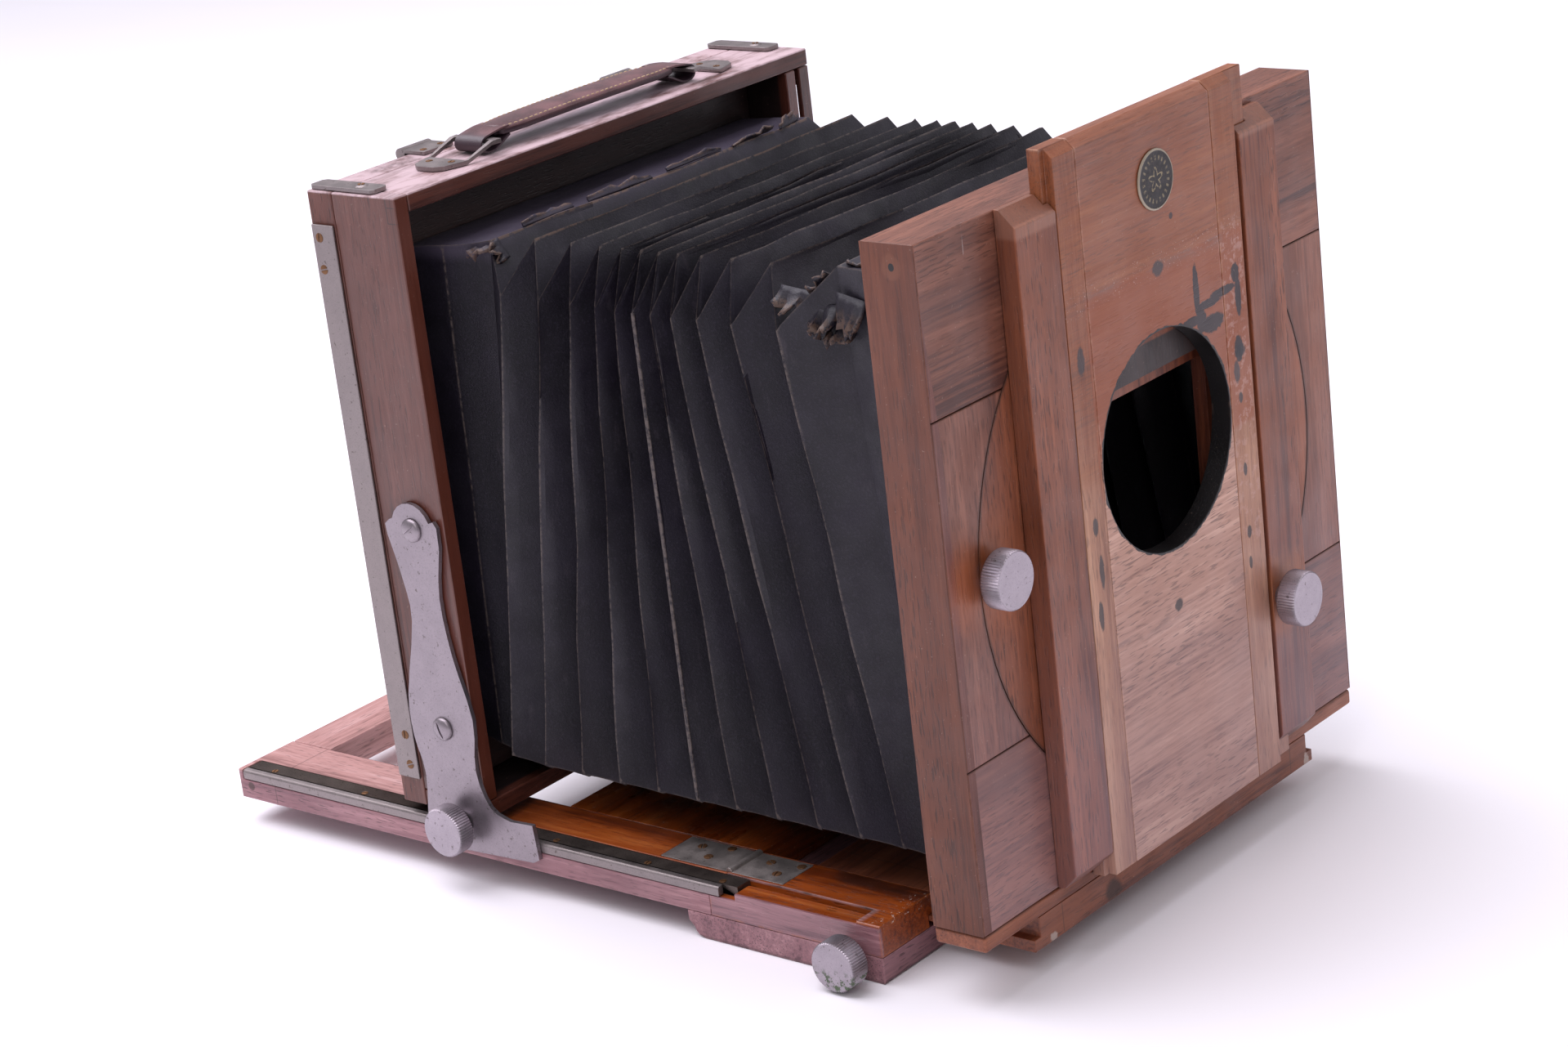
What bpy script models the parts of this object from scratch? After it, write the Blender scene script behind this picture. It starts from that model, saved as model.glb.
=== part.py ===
"""Wooden tailboard plate camera: sliding front extension, turntable with a rising lens panel, bellows,
and a rack-and-pinion rear box with a hinged screen. Millimetres in the code, metres in the scene.
+Z up, the lens side faces -Y, the origin is the centre of the base of the bounding box."""

import math

import bmesh
import bpy
from mathutils import Matrix, Vector

# ---- driving dimensions, mm; Y runs from the front frame's face, and Y_MID moves it to the middle ----
MM = 0.001
GAP = 0.3

# base
BASE_HALF = 124.0
LOWER_TOP = 10.4
BED_TOP = 23.4
BED_FRONT = 49.2
LOWER_REAR = 143.5
HINGE_Y = 131.4
TAIL_REAR = 393.7
RAIL_IN = 91.7
GROOVE_X = 95.5
TAIL_OPEN_FRONT = 232.0
TAIL_OPEN_REAR = 371.0

# racks and pinions
PITCH_R = 3.0
TEETH = 8
PITCH = 2.0 * math.pi * PITCH_R / TEETH
TIP_R = 3.35
ROOT_R = 2.3
SHAFT_R = 1.8
RACK_CREST = 2.75
RACK_VALLEY = 3.65
RACK_IN = 113.3
RACK_OUT = 120.7
REAR_SHAFT_Y = 257.0
REAR_SHAFT_Z = 26.2
EXT_SHAFT_Y = 61.0
EXT_SHAFT_Z = 10.8

# front standard
FRAME_HALF = 125.0
FRAME_BACK = 22.6
FRAME_Z0 = 24.0
FRAME_Z1 = 284.2
BOARD_LOW = 93.0
BOARD_HIGH = 221.5
LIP_TOP = 29.8
DISC_Z = 155.0
DISC_R = 106.8
DISC_HOLE_R = 107.2
DISC_LEDGE_R = 100.0
DISC_BACK = 12.0
DISC_STEP_Y = 6.0
RAILS = {"left": (-80.0, -56.1, -58.9), "right": (84.6, 60.6, 69.9)}  # outer, inner and rebate X
RAIL_TOP = {"left": 284.4, "right": 282.0}
FACE_Y = -9.0
TONGUE_Y = -5.6
SCREW_HEIGHT = 12.4
Y_MID = (TAIL_REAR + FACE_Y - SCREW_HEIGHT) / 2

# rising panel
PANEL_EDGE = {"left": -55.7, "right": 57.9}
TONGUE_EDGE = {"left": -58.5, "right": 69.5}
PANEL_Z0 = 26.6
PANEL_Z1 = 300.0
STILE_IN = 42.4
LENS_R = 41.5
LENS_Z = 177.0
BADGE_R = 11.2
BADGE_X = 4.2
BADGE_Z = 273.6

# rear box
BOX_HALF = 123.7
BOX_FRONT = 246.0
BOX_BACK = 280.0
BOX_Z0 = 27.8
BOX_Z1 = 282.5
WALL = 7.0
BACK_Y = 293.3
SCREEN_HINGE_Y = 297.6
SCREEN_HINGE_Z = 282.1
SCREEN_HINGE_X = 60.3
CATCH_X = 117.8
CATCH_PIVOT_Y = 268.7
CATCH_FRONT = 258.6

# handle
HANDLE_X = 0.5
HANDLE_Y = 264.0
BAR_X = 59.5
PLATE_END = 89.0
BAR_LOW = 4.6
BAR_HIGH = 6.3

# bellows
SIDE_OUT = 110.0
SIDE_IN = 96.5
TOP_OUT = 263.0
TOP_IN = 243.0
LOW_OUT = 41.5
LOW_IN = 50.0
CLOTH = 1.2

for old in list(bpy.data.objects):
    bpy.data.objects.remove(old, do_unlink=True)

FINISH = {
    "wood_frame": ((0.30, 0.155, 0.085, 1.0), 0.55, 0.0),
    "wood_dark": ((0.22, 0.105, 0.062, 1.0), 0.55, 0.0),
    "wood_varnished": ((0.42, 0.15, 0.035, 1.0), 0.38, 0.0),
    "wood_pale": ((0.40, 0.235, 0.15, 1.0), 0.62, 0.0),
    "nickel": ((0.46, 0.45, 0.42, 1.0), 0.42, 0.9),
    "rack_steel": ((0.20, 0.19, 0.18, 1.0), 0.50, 0.8),
    "brass": ((0.60, 0.47, 0.22, 1.0), 0.40, 0.9),
    "bellows_cloth": ((0.030, 0.028, 0.030, 1.0), 0.80, 0.0),
    "handle_leather": ((0.12, 0.065, 0.055, 1.0), 0.55, 0.0),
    "glass": ((0.80, 0.84, 0.84, 0.35), 0.55, 0.0),
    "enamel": ((0.035, 0.035, 0.035, 1.0), 0.35, 0.1),
}


def give_material(obj, finish):
    color, rough, metal = FINISH[finish]
    mat = bpy.data.materials.new(obj.name + "_" + finish)
    mat.use_nodes = True
    shader = mat.node_tree.nodes["Principled BSDF"]
    shader.inputs["Base Color"].default_value = color
    shader.inputs["Roughness"].default_value = rough
    shader.inputs["Metallic"].default_value = metal
    obj.data.materials.clear()
    obj.data.materials.append(mat)


def place(point):
    """Design millimetres to scene metres."""
    return Vector((point[0] * MM, (point[1] - Y_MID) * MM, point[2] * MM))


def from_bmesh(bm, name, finish, smooth=False):
    bmesh.ops.recalc_face_normals(bm, faces=bm.faces)
    mesh = bpy.data.meshes.new(name)
    bm.to_mesh(mesh)
    bm.free()
    obj = bpy.data.objects.new(name, mesh)
    bpy.context.scene.collection.objects.link(obj)
    if smooth:
        mesh.shade_smooth()
        mesh.set_sharp_from_angle(angle=math.radians(35))
    if finish:
        give_material(obj, finish)
    else:
        obj.hide_render = True
        obj.display_type = "WIRE"
    return obj


def prism(name, outline, axis, low, high, finish):
    """Extrude a closed outline along X, Y or Z. Outline points are (Y, Z), (X, Z) or (X, Y)."""
    bm = bmesh.new()
    verts = []
    for a, b in outline:
        point = {"X": (low, a, b), "Y": (a, low, b), "Z": (a, b, low)}[axis]
        verts.append(bm.verts.new(place(point)))
    face = bm.faces.new(verts)
    step = {"X": (1, 0, 0), "Y": (0, 1, 0), "Z": (0, 0, 1)}[axis]
    grown = bmesh.ops.extrude_face_region(bm, geom=[face])
    moved = [item for item in grown["geom"] if isinstance(item, bmesh.types.BMVert)]
    bmesh.ops.translate(bm, vec=Vector(step) * (high - low) * MM, verts=moved)
    return from_bmesh(bm, name, finish)


def block(name, x, y, z, finish, chamfer=0.0):
    """A board given by its X, Y and Z ranges, with its edges eased by a small chamfer."""
    bm = bmesh.new()
    bmesh.ops.create_cube(bm, size=1.0)
    size = Vector((x[1] - x[0], y[1] - y[0], z[1] - z[0])) * MM
    middle = place(((x[0] + x[1]) / 2, (y[0] + y[1]) / 2, (z[0] + z[1]) / 2))
    bmesh.ops.scale(bm, vec=size, verts=bm.verts)
    bmesh.ops.translate(bm, vec=middle, verts=bm.verts)
    if chamfer:
        bmesh.ops.bevel(bm, geom=bm.edges[:], offset=chamfer * MM, segments=1, affect="EDGES")
    return from_bmesh(bm, name, finish)


def turned(name, profile, axis, centre, finish, steps=32):
    """Turn a profile of (radius, height) points about an axis: its ends lie on the axis, or it is a loop."""
    bm = bmesh.new()
    rings = []
    loop = profile[0] == profile[-1]
    for radius, height in profile[: -1 if loop else None]:
        ring = []
        for i in range(steps if radius > 0 else 1):
            turn = 2 * math.pi * i / steps
            c = radius * math.cos(turn)
            s = radius * math.sin(turn)
            local = {"X": (height, c, s), "Y": (s, height, c), "Z": (c, s, height)}[axis]
            point = [centre[k] + local[k] for k in range(3)]
            ring.append(bm.verts.new(place(point)))
        rings.append(ring)
    if loop:
        rings.append(rings[0])
    for low, high in zip(rings, rings[1:]):
        for i in range(steps):
            j = (i + 1) % steps
            if len(low) == 1:
                bm.faces.new((low[0], high[i], high[j]))
            elif len(high) == 1:
                bm.faces.new((low[i], low[j], high[0]))
            else:
                bm.faces.new((low[i], low[j], high[j], high[i]))
    return from_bmesh(bm, name, finish, smooth=True)


def rod(name, radius, axis, centre, low, high, finish, steps=32):
    profile = [(0, low), (radius, low), (radius, high), (0, high)]
    return turned(name, profile, axis, centre, finish, steps)


def boolean(obj, other, operation="DIFFERENCE"):
    mod = obj.modifiers.new(operation.lower() + "_" + other.name, "BOOLEAN")
    mod.operation = operation
    mod.solver = "EXACT"
    mod.object = other
    other.hide_render = True
    other.display_type = "WIRE"
    return obj


def set_pivot(obj, point):
    """Move the object's origin onto its joint's axis without moving its mesh."""
    pivot = place(point)
    obj.data.transform(Matrix.Translation(-pivot))
    obj.location = pivot


def gear_outline(centre_a, centre_b, phase):
    """V-toothed pinion outline: a tip on every pitch angle, a root midway."""
    points = []
    for i in range(2 * TEETH):
        radius = TIP_R if i % 2 == 0 else ROOT_R
        turn = phase + math.pi * i / TEETH
        points.append((centre_a + radius * math.cos(turn), centre_b + radius * math.sin(turn)))
    return points


def rack_outline(y0, y1, tooth_y, crest, valley, base):
    """Rack outline in Y and Z: valleys at tooth_y and every pitch from it, crests midway."""
    points = [(y0, base)]
    first = math.ceil((y0 + 0.4 - tooth_y) / (PITCH / 2))
    last = math.floor((y1 - 0.4 - tooth_y) / (PITCH / 2))
    points.append((y0, crest))
    for n in range(first, last + 1):
        points.append((tooth_y + n * PITCH / 2, valley if n % 2 == 0 else crest))
    points.append((y1, crest))
    points.append((y1, base))
    return points


# =====================================================================================================
# Base: lower board, bed rails, tailboard, hinges, racks
# =====================================================================================================
ogee = [
    (BED_FRONT, 0.6),
    (BED_FRONT + 0.6, 0.0),
    (135.5, 0.0),
    (138.6, 0.7),
    (140.2, 2.2),
    (140.9, 4.0),
    (142.2, 5.2),
    (143.3, 6.6),
    (LOWER_REAR, LOWER_TOP),
    (BED_FRONT, LOWER_TOP),
]
lower_board = prism("lower_board", ogee, "X", -BASE_HALF, BASE_HALF, "wood_dark")
gear_groove = block("cut_gear_groove", (-93, 90), (56.6, 65.4), (6.6, 20), None)
boolean(lower_board, gear_groove)
shaft_groove = rod("cut_shaft_groove", 2.1, "X", (0, EXT_SHAFT_Y, EXT_SHAFT_Z), -140, -90, None, 24)
boolean(lower_board, shaft_groove)
bush_hole = rod("cut_bush", 9.3, "Z", (0, 98, 0), -1, 20, None)
boolean(lower_board, bush_hole)
turned(
    "tripod_bush",
    [(4.8, 0.3), (9.0, 0.3), (9.0, 9.9), (4.8, 9.9), (4.8, 0.3)],
    "Z",
    (0, 98, 0),
    "brass",
    24,
)

for side, sign in (("left", -1), ("right", 1)):
    low_z = LOWER_TOP + GAP
    rail_shape = [
        (sign * BASE_HALF, low_z),
        (sign * GROOVE_X, low_z),
        (sign * GROOVE_X, 15.6),
        (sign * RAIL_IN, 15.6),
        (sign * RAIL_IN, BED_TOP),
        (sign * (BASE_HALF - 0.5), BED_TOP),
        (sign * BASE_HALF, BED_TOP - 0.5),
    ]
    bed_rail = prism("bed_rail_" + side, rail_shape, "Y", BED_FRONT, HINGE_Y - GAP / 2, "wood_varnished")
    seat = block(
        "cut_seat_" + side,
        tuple(sorted((sign * 112.9, sign * 130))),
        (60, 140),
        (19.0, 30),
        None,
    )
    boolean(bed_rail, seat)
    shelf = block(
        "bed_shelf_" + side,
        tuple(sorted((sign * 115.4, sign * BASE_HALF))),
        (59.0, 118.5),
        (18.5, 21.9),
        None,
    )
    boolean(bed_rail, shelf, "UNION")
    hinge_cut = block(
        "cut_hinge_bed_" + side,
        tuple(sorted((sign * 92.2, sign * 111.6))),
        (104.7, 136),
        (21.6, 30),
        None,
    )
    boolean(bed_rail, hinge_cut)
    boolean(bed_rail, shaft_groove)

    tail_shape = [
        (sign * BASE_HALF, low_z),
        (sign * RAIL_IN, low_z),
        (sign * RAIL_IN, BED_TOP),
        (sign * 112.9, BED_TOP),
        (sign * 112.9, 19.0),
        (sign * BASE_HALF, 19.0),
    ]
    tail_rail = prism("tail_rail_" + side, tail_shape, "Y", HINGE_Y + GAP / 2, TAIL_REAR, "wood_frame")
    rear_block = block(
        "tail_end_" + side,
        tuple(sorted((sign * 112.0, sign * BASE_HALF))),
        (391.4, TAIL_REAR),
        (18.0, BED_TOP),
        None,
    )
    boolean(tail_rail, rear_block, "UNION")
    hinge_cut_tail = block(
        "cut_hinge_tail_" + side,
        tuple(sorted((sign * 92.2, sign * 111.6))),
        (126, 166.3),
        (21.6, 30),
        None,
    )
    boolean(tail_rail, hinge_cut_tail)

    rack = prism(
        "rack_" + side,
        rack_outline(
            119.5, 391.0, REAR_SHAFT_Y, REAR_SHAFT_Z - RACK_CREST, REAR_SHAFT_Z - RACK_VALLEY, 19.3
        ),
        "X",
        min(sign * RACK_IN, sign * RACK_OUT),
        max(sign * RACK_IN, sign * RACK_OUT),
        "rack_steel",
    )
    strip_shape = [
        (sign * 121.0, 19.3),
        (sign * BASE_HALF, 19.3),
        (sign * BASE_HALF, 22.4),
        (sign * 123.3, 23.2),
        (sign * 121.0, 23.4),
    ]
    prism("guide_strip_" + side, strip_shape, "Y", 126.5, 391.0, "nickel")

    leaf = prism(
        "hinge_" + side,
        [(105.0, 21.9), (166.0, 21.9), (166.0, 23.4), (105.0, 23.4)],
        "X",
        min(sign * 92.5, sign * 111.3),
        max(sign * 92.5, sign * 111.3),
        "rack_steel",
    )
    knuckle = rod(
        "hinge_knuckle_" + side,
        1.5,
        "X",
        (sign * 101.9, HINGE_Y, 23.4),
        -9.4,
        9.4,
        None,
        16,
    )
    boolean(leaf, knuckle, "UNION")

tail_front = block(
    "tail_front_board",
    (-RAIL_IN + GAP, RAIL_IN - GAP),
    (HINGE_Y + GAP / 2, TAIL_OPEN_FRONT),
    (LOWER_TOP + GAP, BED_TOP),
    "wood_varnished",
    0.3,
)
tail_rear = block(
    "tail_rear_board",
    (-RAIL_IN + GAP, RAIL_IN - GAP),
    (TAIL_OPEN_REAR, TAIL_REAR),
    (LOWER_TOP + GAP, BED_TOP),
    "wood_frame",
    0.3,
)

# =====================================================================================================
# Sliding front extension with its racks, and the pinion shaft that drives it
# =====================================================================================================
ext_front = 0.9
ext_rear = 104.0
extension = prism(
    "extension_board",
    [
        (-95.2, 13.1),
        (95.2, 13.1),
        (95.2, 15.3),
        (91.3, 15.3),
        (91.3, 23.1),
        (-91.3, 23.1),
        (-91.3, 15.3),
        (-95.2, 15.3),
    ],
    "Y",
    ext_front,
    ext_rear,
    "wood_frame",
)
nose = block("extension_nose", (-95.2, 95.2), (ext_front, 33.0), (10.6, 14.0), None)
boolean(extension, nose, "UNION")
for side, sign in (("left", -1), ("right", 1)):
    slot = block(
        "cut_ext_rack_" + side,
        tuple(sorted((sign * 73.7, sign * 82.3))),
        (31.6, 110),
        (5, 17.5),
        None,
    )
    boolean(extension, slot)
    prism(
        "extension_rack_" + side,
        rack_outline(32.0, 103.6, EXT_SHAFT_Y, EXT_SHAFT_Z + RACK_CREST, EXT_SHAFT_Z + RACK_VALLEY, 17.2),
        "X",
        min(sign * 74.0, sign * 82.0),
        max(sign * 74.0, sign * 82.0),
        "rack_steel",
    )

ext_shaft = rod(
    "extension_pinion",
    SHAFT_R,
    "X",
    (0, EXT_SHAFT_Y, EXT_SHAFT_Z),
    -125.2,
    86.0,
    "rack_steel",
    20,
)
for side, sign in (("left", -1), ("right", 1)):
    pinion = prism(
        "ext_gear_" + side,
        gear_outline(EXT_SHAFT_Y, EXT_SHAFT_Z, math.pi / 2),
        "X",
        sign * 78.0 - 3.4,
        sign * 78.0 + 3.4,
        None,
    )
    boolean(ext_shaft, pinion, "UNION")
set_pivot(ext_shaft, (0, EXT_SHAFT_Y, EXT_SHAFT_Z))


def side_knob(name, sign, y, z, radius, inner, outer):
    """Turned head with a grooved collar; inner and outer are its X distances from the middle plane."""
    profile = [
        (0, inner),
        (4.2, inner),
        (4.6, inner + 0.8),
        (4.6, inner + 2.6),
        (3.6, inner + 3.2),
        (3.6, inner + 3.9),
        (radius - 0.9, inner + 3.9),
        (radius, inner + 4.7),
        (radius, outer - 0.9),
        (radius - 1.0, outer),
        (0, outer),
    ]
    knob = turned(name, [(r, sign * h) for r, h in profile], "X", (0, y, z), "nickel", 28)
    set_pivot(knob, (0, y, z))
    return knob


side_knob("extension_knob", -1, EXT_SHAFT_Y, EXT_SHAFT_Z, 10.0, 125.5, 139.0)

# =====================================================================================================
# Front standard: four boards round a turntable
# =====================================================================================================
front_plan = {
    "front_board_top": ((-FRAME_HALF, FRAME_HALF), (BOARD_HIGH + GAP, FRAME_Z1)),
    "front_board_bottom": ((-FRAME_HALF, FRAME_HALF), (LIP_TOP + GAP, BOARD_LOW)),
    "front_stile_left": ((-FRAME_HALF, -40), (BOARD_LOW + GAP, BOARD_HIGH)),
    "front_stile_right": ((40, FRAME_HALF), (BOARD_LOW + GAP, BOARD_HIGH)),
}
front_nodes = []
for name, (x_range, z_range) in front_plan.items():
    front_nodes.append(block(name, x_range, (0, FRAME_BACK), z_range, "wood_frame", 0.4))
seat_cut = rod("cut_disc_seat", DISC_HOLE_R, "Y", (0, 0, DISC_Z), -5, DISC_BACK + GAP, None, 96)
through_cut = rod("cut_disc_through", DISC_LEDGE_R, "Y", (0, 0, DISC_Z), -5, 40, None, 96)
for board in front_nodes:
    boolean(board, seat_cut)
    boolean(board, through_cut)
ledge_z = (FRAME_Z0 - 0.5, LIP_TOP)
block("bottom_ledge", (-FRAME_HALF, FRAME_HALF), (0, FRAME_BACK), ledge_z, "wood_frame", 0.8)

disc = rod("turntable_disc", DISC_R, "Y", (0, 0, DISC_Z), 0, DISC_BACK, "wood_frame", 96)
disc_window = block("cut_disc_window", (-52, 52), (-5, DISC_STEP_Y), (122, 200.3), None)
disc_throat = block("cut_disc_throat", (-48.5, 48.5), (-5, 30), (122, 194), None)
boolean(disc, disc_window)
boolean(disc, disc_throat)
stem_hole = rod("cut_turntable_stem", 2.5, "Y", (-102.6, 0, 159.2), -5, 9.0, None, 20)
boolean(disc, stem_hole)
set_pivot(disc, (0, 0, DISC_Z))

for side, (rail_out, lip_in, rebate) in RAILS.items():
    section = [
        (lip_in, FACE_Y),
        (rail_out, FACE_Y),
        (rail_out, -GAP),
        (rebate, -GAP),
        (rebate, TONGUE_Y - 0.4),
        (lip_in, TONGUE_Y - 0.4),
    ]
    top = RAIL_TOP[side]
    rail = prism("front_rail_" + side, section, "Z", 30.4, top, "wood_dark")
    wide = (min(rail_out, lip_in) - 8, max(rail_out, lip_in) + 8)
    top_bevel = prism(
        "cut_rail_top_" + side,
        [(-1.5, top + 1.0), (-12, top - 9.2), (-12, top + 6.4)],
        "X",
        wide[0],
        wide[1],
        None,
    )
    low_bevel = prism(
        "cut_rail_low_" + side,
        [(-2.0, 29.0), (-12, 39.6), (-12, 20)],
        "X",
        wide[0],
        wide[1],
        None,
    )
    boolean(rail, top_bevel)
    boolean(rail, low_bevel)
    if side == "right":
        clamp_hole = rod("cut_clamp_stem", 2.3, "Y", (66.0, 0, 93.0), -20, -4.0, None, 20)
        boolean(rail, clamp_hole)
    set_pivot(rail, (0, 0, DISC_Z))

frame_rear = block("bellows_front_frame", (-114, 114), (FRAME_BACK + GAP, 27.6), (39, 273), "wood_dark", 0.3)
frame_rear_hole = block("cut_bellows_front", (-101, 101), (10, 40), (52, 259), None)
boolean(frame_rear, frame_rear_hole)

# =====================================================================================================
# Rising panel: horizontal-grain board between two vertical stiles, tongued into the rails
# =====================================================================================================
board_section = [
    (-STILE_IN + 0.15, FACE_Y),
    (STILE_IN - 0.15, FACE_Y),
    (STILE_IN - 0.15, -0.5),
    (-STILE_IN + 0.15, -0.5),
]
panel_board = prism("panel_board", board_section, "Z", PANEL_Z0, PANEL_Z1, "wood_pale")
lens_cut = rod("cut_lens_hole", LENS_R, "Y", (0, 0, LENS_Z), -20, 10, None, 64)
panel_bevel = prism(
    "cut_panel_top",
    [(FACE_Y + 4.2, PANEL_Z1 + 0.5), (FACE_Y - 1, PANEL_Z1 - 4.4), (FACE_Y - 1, PANEL_Z1 + 3)],
    "X",
    -80,
    80,
    None,
)
boolean(panel_board, lens_cut)
boolean(panel_board, panel_bevel)
for side, sign in (("left", -1), ("right", 1)):
    stile_section = [
        (sign * (STILE_IN + 0.15), FACE_Y),
        (PANEL_EDGE[side], FACE_Y),
        (PANEL_EDGE[side], TONGUE_Y),
        (TONGUE_EDGE[side], TONGUE_Y),
        (TONGUE_EDGE[side], -0.5),
        (sign * (STILE_IN + 0.15), -0.5),
    ]
    stile = prism("panel_stile_" + side, stile_section, "Z", PANEL_Z0, PANEL_Z1, "wood_pale")
    boolean(stile, lens_cut)
    boolean(stile, panel_bevel)
badge = turned(
    "badge",
    [(0, -9.2), (BADGE_R, -9.2), (BADGE_R, -9.7), (BADGE_R - 0.6, -10.0), (BADGE_R - 1.2, -9.8), (0, -9.8)],
    "Y",
    (BADGE_X, 0, BADGE_Z),
    "enamel",
    28,
)


def thumbscrew(name, x, z, face, tip, radius):
    """Round head, collar and stem along Y; face is the Y of the surface it bears on."""
    profile = [
        (0, tip),
        (2.0, tip),
        (2.0, face - 0.3),
        (6.2, face - 0.3),
        (6.2, face - 1.2),
        (4.4, face - 1.6),
        (4.4, face - 5.4),
        (radius - 0.9, face - 5.4),
        (radius, face - 6.2),
        (radius, face - SCREW_HEIGHT + 1.0),
        (radius - 1.0, face - SCREW_HEIGHT),
        (0, face - SCREW_HEIGHT),
    ]
    knob = turned(name, profile, "Y", (x, 0, z), "nickel", 28)
    set_pivot(knob, (x, face, z))
    return knob


thumbscrew("turntable_thumbscrew", -102.6, 159.2, 0.0, 8.0, 10.8)
thumbscrew("panel_thumbscrew", 66.0, 93.0, FACE_Y, TONGUE_Y - 0.35, 10.8)

# =====================================================================================================
# Rear standard: box, back frame, brackets, pinion shaft
# =====================================================================================================
top_x = (-BOX_HALF + WALL + GAP, BOX_HALF)
block("rear_top", top_x, (BOX_FRONT, BOX_BACK), (BOX_Z1 - WALL, BOX_Z1), "wood_frame", 0.4)
rear_bottom = block(
    "rear_bottom",
    (-BOX_HALF, BOX_HALF),
    (BOX_FRONT, BOX_BACK),
    (BOX_Z0, BOX_Z0 + WALL),
    "wood_frame",
    0.4,
)
shaft_way = block("cut_shaft_way", (-130, 130), (252.7, 261.3), (20, 30.4), None)
boolean(rear_bottom, shaft_way)
wall_z = (BOX_Z0 + WALL + GAP, BOX_Z1 - WALL - GAP)
left_z = (wall_z[0], BOX_Z1)
block("rear_left", (-BOX_HALF, -BOX_HALF + WALL), (BOX_FRONT, BOX_BACK), left_z, "wood_frame", 0.4)
block("rear_right", (108.6, 114.8), (BOX_FRONT, BOX_BACK), wall_z, "wood_frame", 0.4)
slat = block("rear_right_slat", (117.4, BOX_HALF), (BOX_FRONT, BOX_BACK), wall_z, "wood_frame", 0.4)
slat_slot = block("cut_slat_slot", (110, 130), (248.4, 256.0), (186, 268), None)
boolean(slat, slat_slot)

rear_frame = block(
    "bellows_rear_frame",
    (-BOX_HALF + WALL + GAP, 108.3),
    (268.2, BOX_BACK),
    (wall_z[0] + GAP, wall_z[1] - GAP),
    "wood_dark",
)
rear_frame_hole = block("cut_bellows_rear", (-92, 92), (250, 300), (58, 252), None)
boolean(rear_frame, rear_frame_hole)

back = block(
    "back_frame",
    (-BOX_HALF, BOX_HALF),
    (BOX_BACK + GAP, BACK_Y),
    (BOX_Z0, BOX_Z1),
    "wood_frame",
    0.4,
)
back_hole = block("cut_back", (-98, 98), (270, 300), (57, 253), None)
boolean(back, back_hole)

screen = block("screen_frame", (-108, 108), (BACK_Y + GAP, 301.6), (46, 279.0), "wood_frame", 0.5)
screen_hole = block("cut_screen", (-93, 93), (280, 310), (62, 248), None)
screen_rebate = block("cut_screen_rebate", (-97, 97), (280, 297.4), (58, 252), None)
boolean(screen, screen_hole)
boolean(screen, screen_rebate)
glass = block("ground_glass", (-96.7, 96.7), (295.0, 297.1), (58.3, 251.7), "glass")
for piece in (screen, glass):
    set_pivot(piece, (0, SCREEN_HINGE_Y, SCREEN_HINGE_Z))
for side, sign in (("left", -1), ("right", 1)):
    x_low = sign * SCREEN_HINGE_X - 8.2
    x_high = sign * SCREEN_HINGE_X + 8.2
    barrel = rod(
        "screen_hinge_" + side,
        2.5,
        "X",
        (0, SCREEN_HINGE_Y, SCREEN_HINGE_Z),
        x_low,
        x_high,
        "nickel",
        20,
    )
    flap = block(
        "screen_flap_" + side,
        (x_low, x_high),
        (284.0, SCREEN_HINGE_Y),
        (BOX_Z1 + GAP, BOX_Z1 + 1.5),
        None,
    )
    boolean(barrel, flap, "UNION")

for side, sign in (("left", -1), ("right", 1)):
    block(
        "edge_strip_" + side,
        tuple(sorted((sign * (BOX_HALF + GAP), sign * (BOX_HALF + 1.5)))),
        (280.6, 292.2),
        (39.6, 269.6),
        "nickel",
        0.25,
    )


def curve_through(points, steps):
    """Catmull-Rom curve through the points, with this many steps between neighbours."""
    found = []
    for k in range(len(points) - 1):
        p0 = Vector(points[max(k - 1, 0)])
        p1 = Vector(points[k])
        p2 = Vector(points[k + 1])
        p3 = Vector(points[min(k + 2, len(points) - 1)])
        for step in range(steps):
            t = step / steps
            spot = 0.5 * (
                2 * p1
                + (p2 - p0) * t
                + (2 * p0 - 5 * p1 + 4 * p2 - p3) * t**2
                + (3 * p1 - p0 - 3 * p2 + p3) * t**3
            )
            found.append(tuple(spot))
    found.append(tuple(points[-1]))
    return found


# bracket outline in Y and Z: a round lobe between two shoulders, a waist, a swelling, and a foot
lobe = []
for step in range(9):
    turn = math.radians(20 + 140 * step / 8)
    lobe.append((261.6 - 10.6 * math.cos(turn), 149.4 + 10.8 * math.sin(turn)))
rear_edge = curve_through(
    [(275.6, 146), (271, 128), (269.4, 110), (278, 78), (278.6, 60), (275.2, 44), (278.2, 22)],
    3,
)
front_edge = curve_through(
    [(247.8, 143), (251.8, 122), (249.6, 98), (243.6, 72), (246.2, 50), (241, 35), (231, 31)],
    3,
)
shoulders = [(273.6, 152.2), (276.0, 150.2)]
foot = [(219.0, 31.6), (217.8, 17.0), (221.2, 15.2), (262.0, 13.4), (278.4, 14.0)]
outline = lobe + shoulders + rear_edge + foot[::-1] + front_edge[::-1] + [(247.6, 151.6), (249.2, 154.0)]
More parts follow.
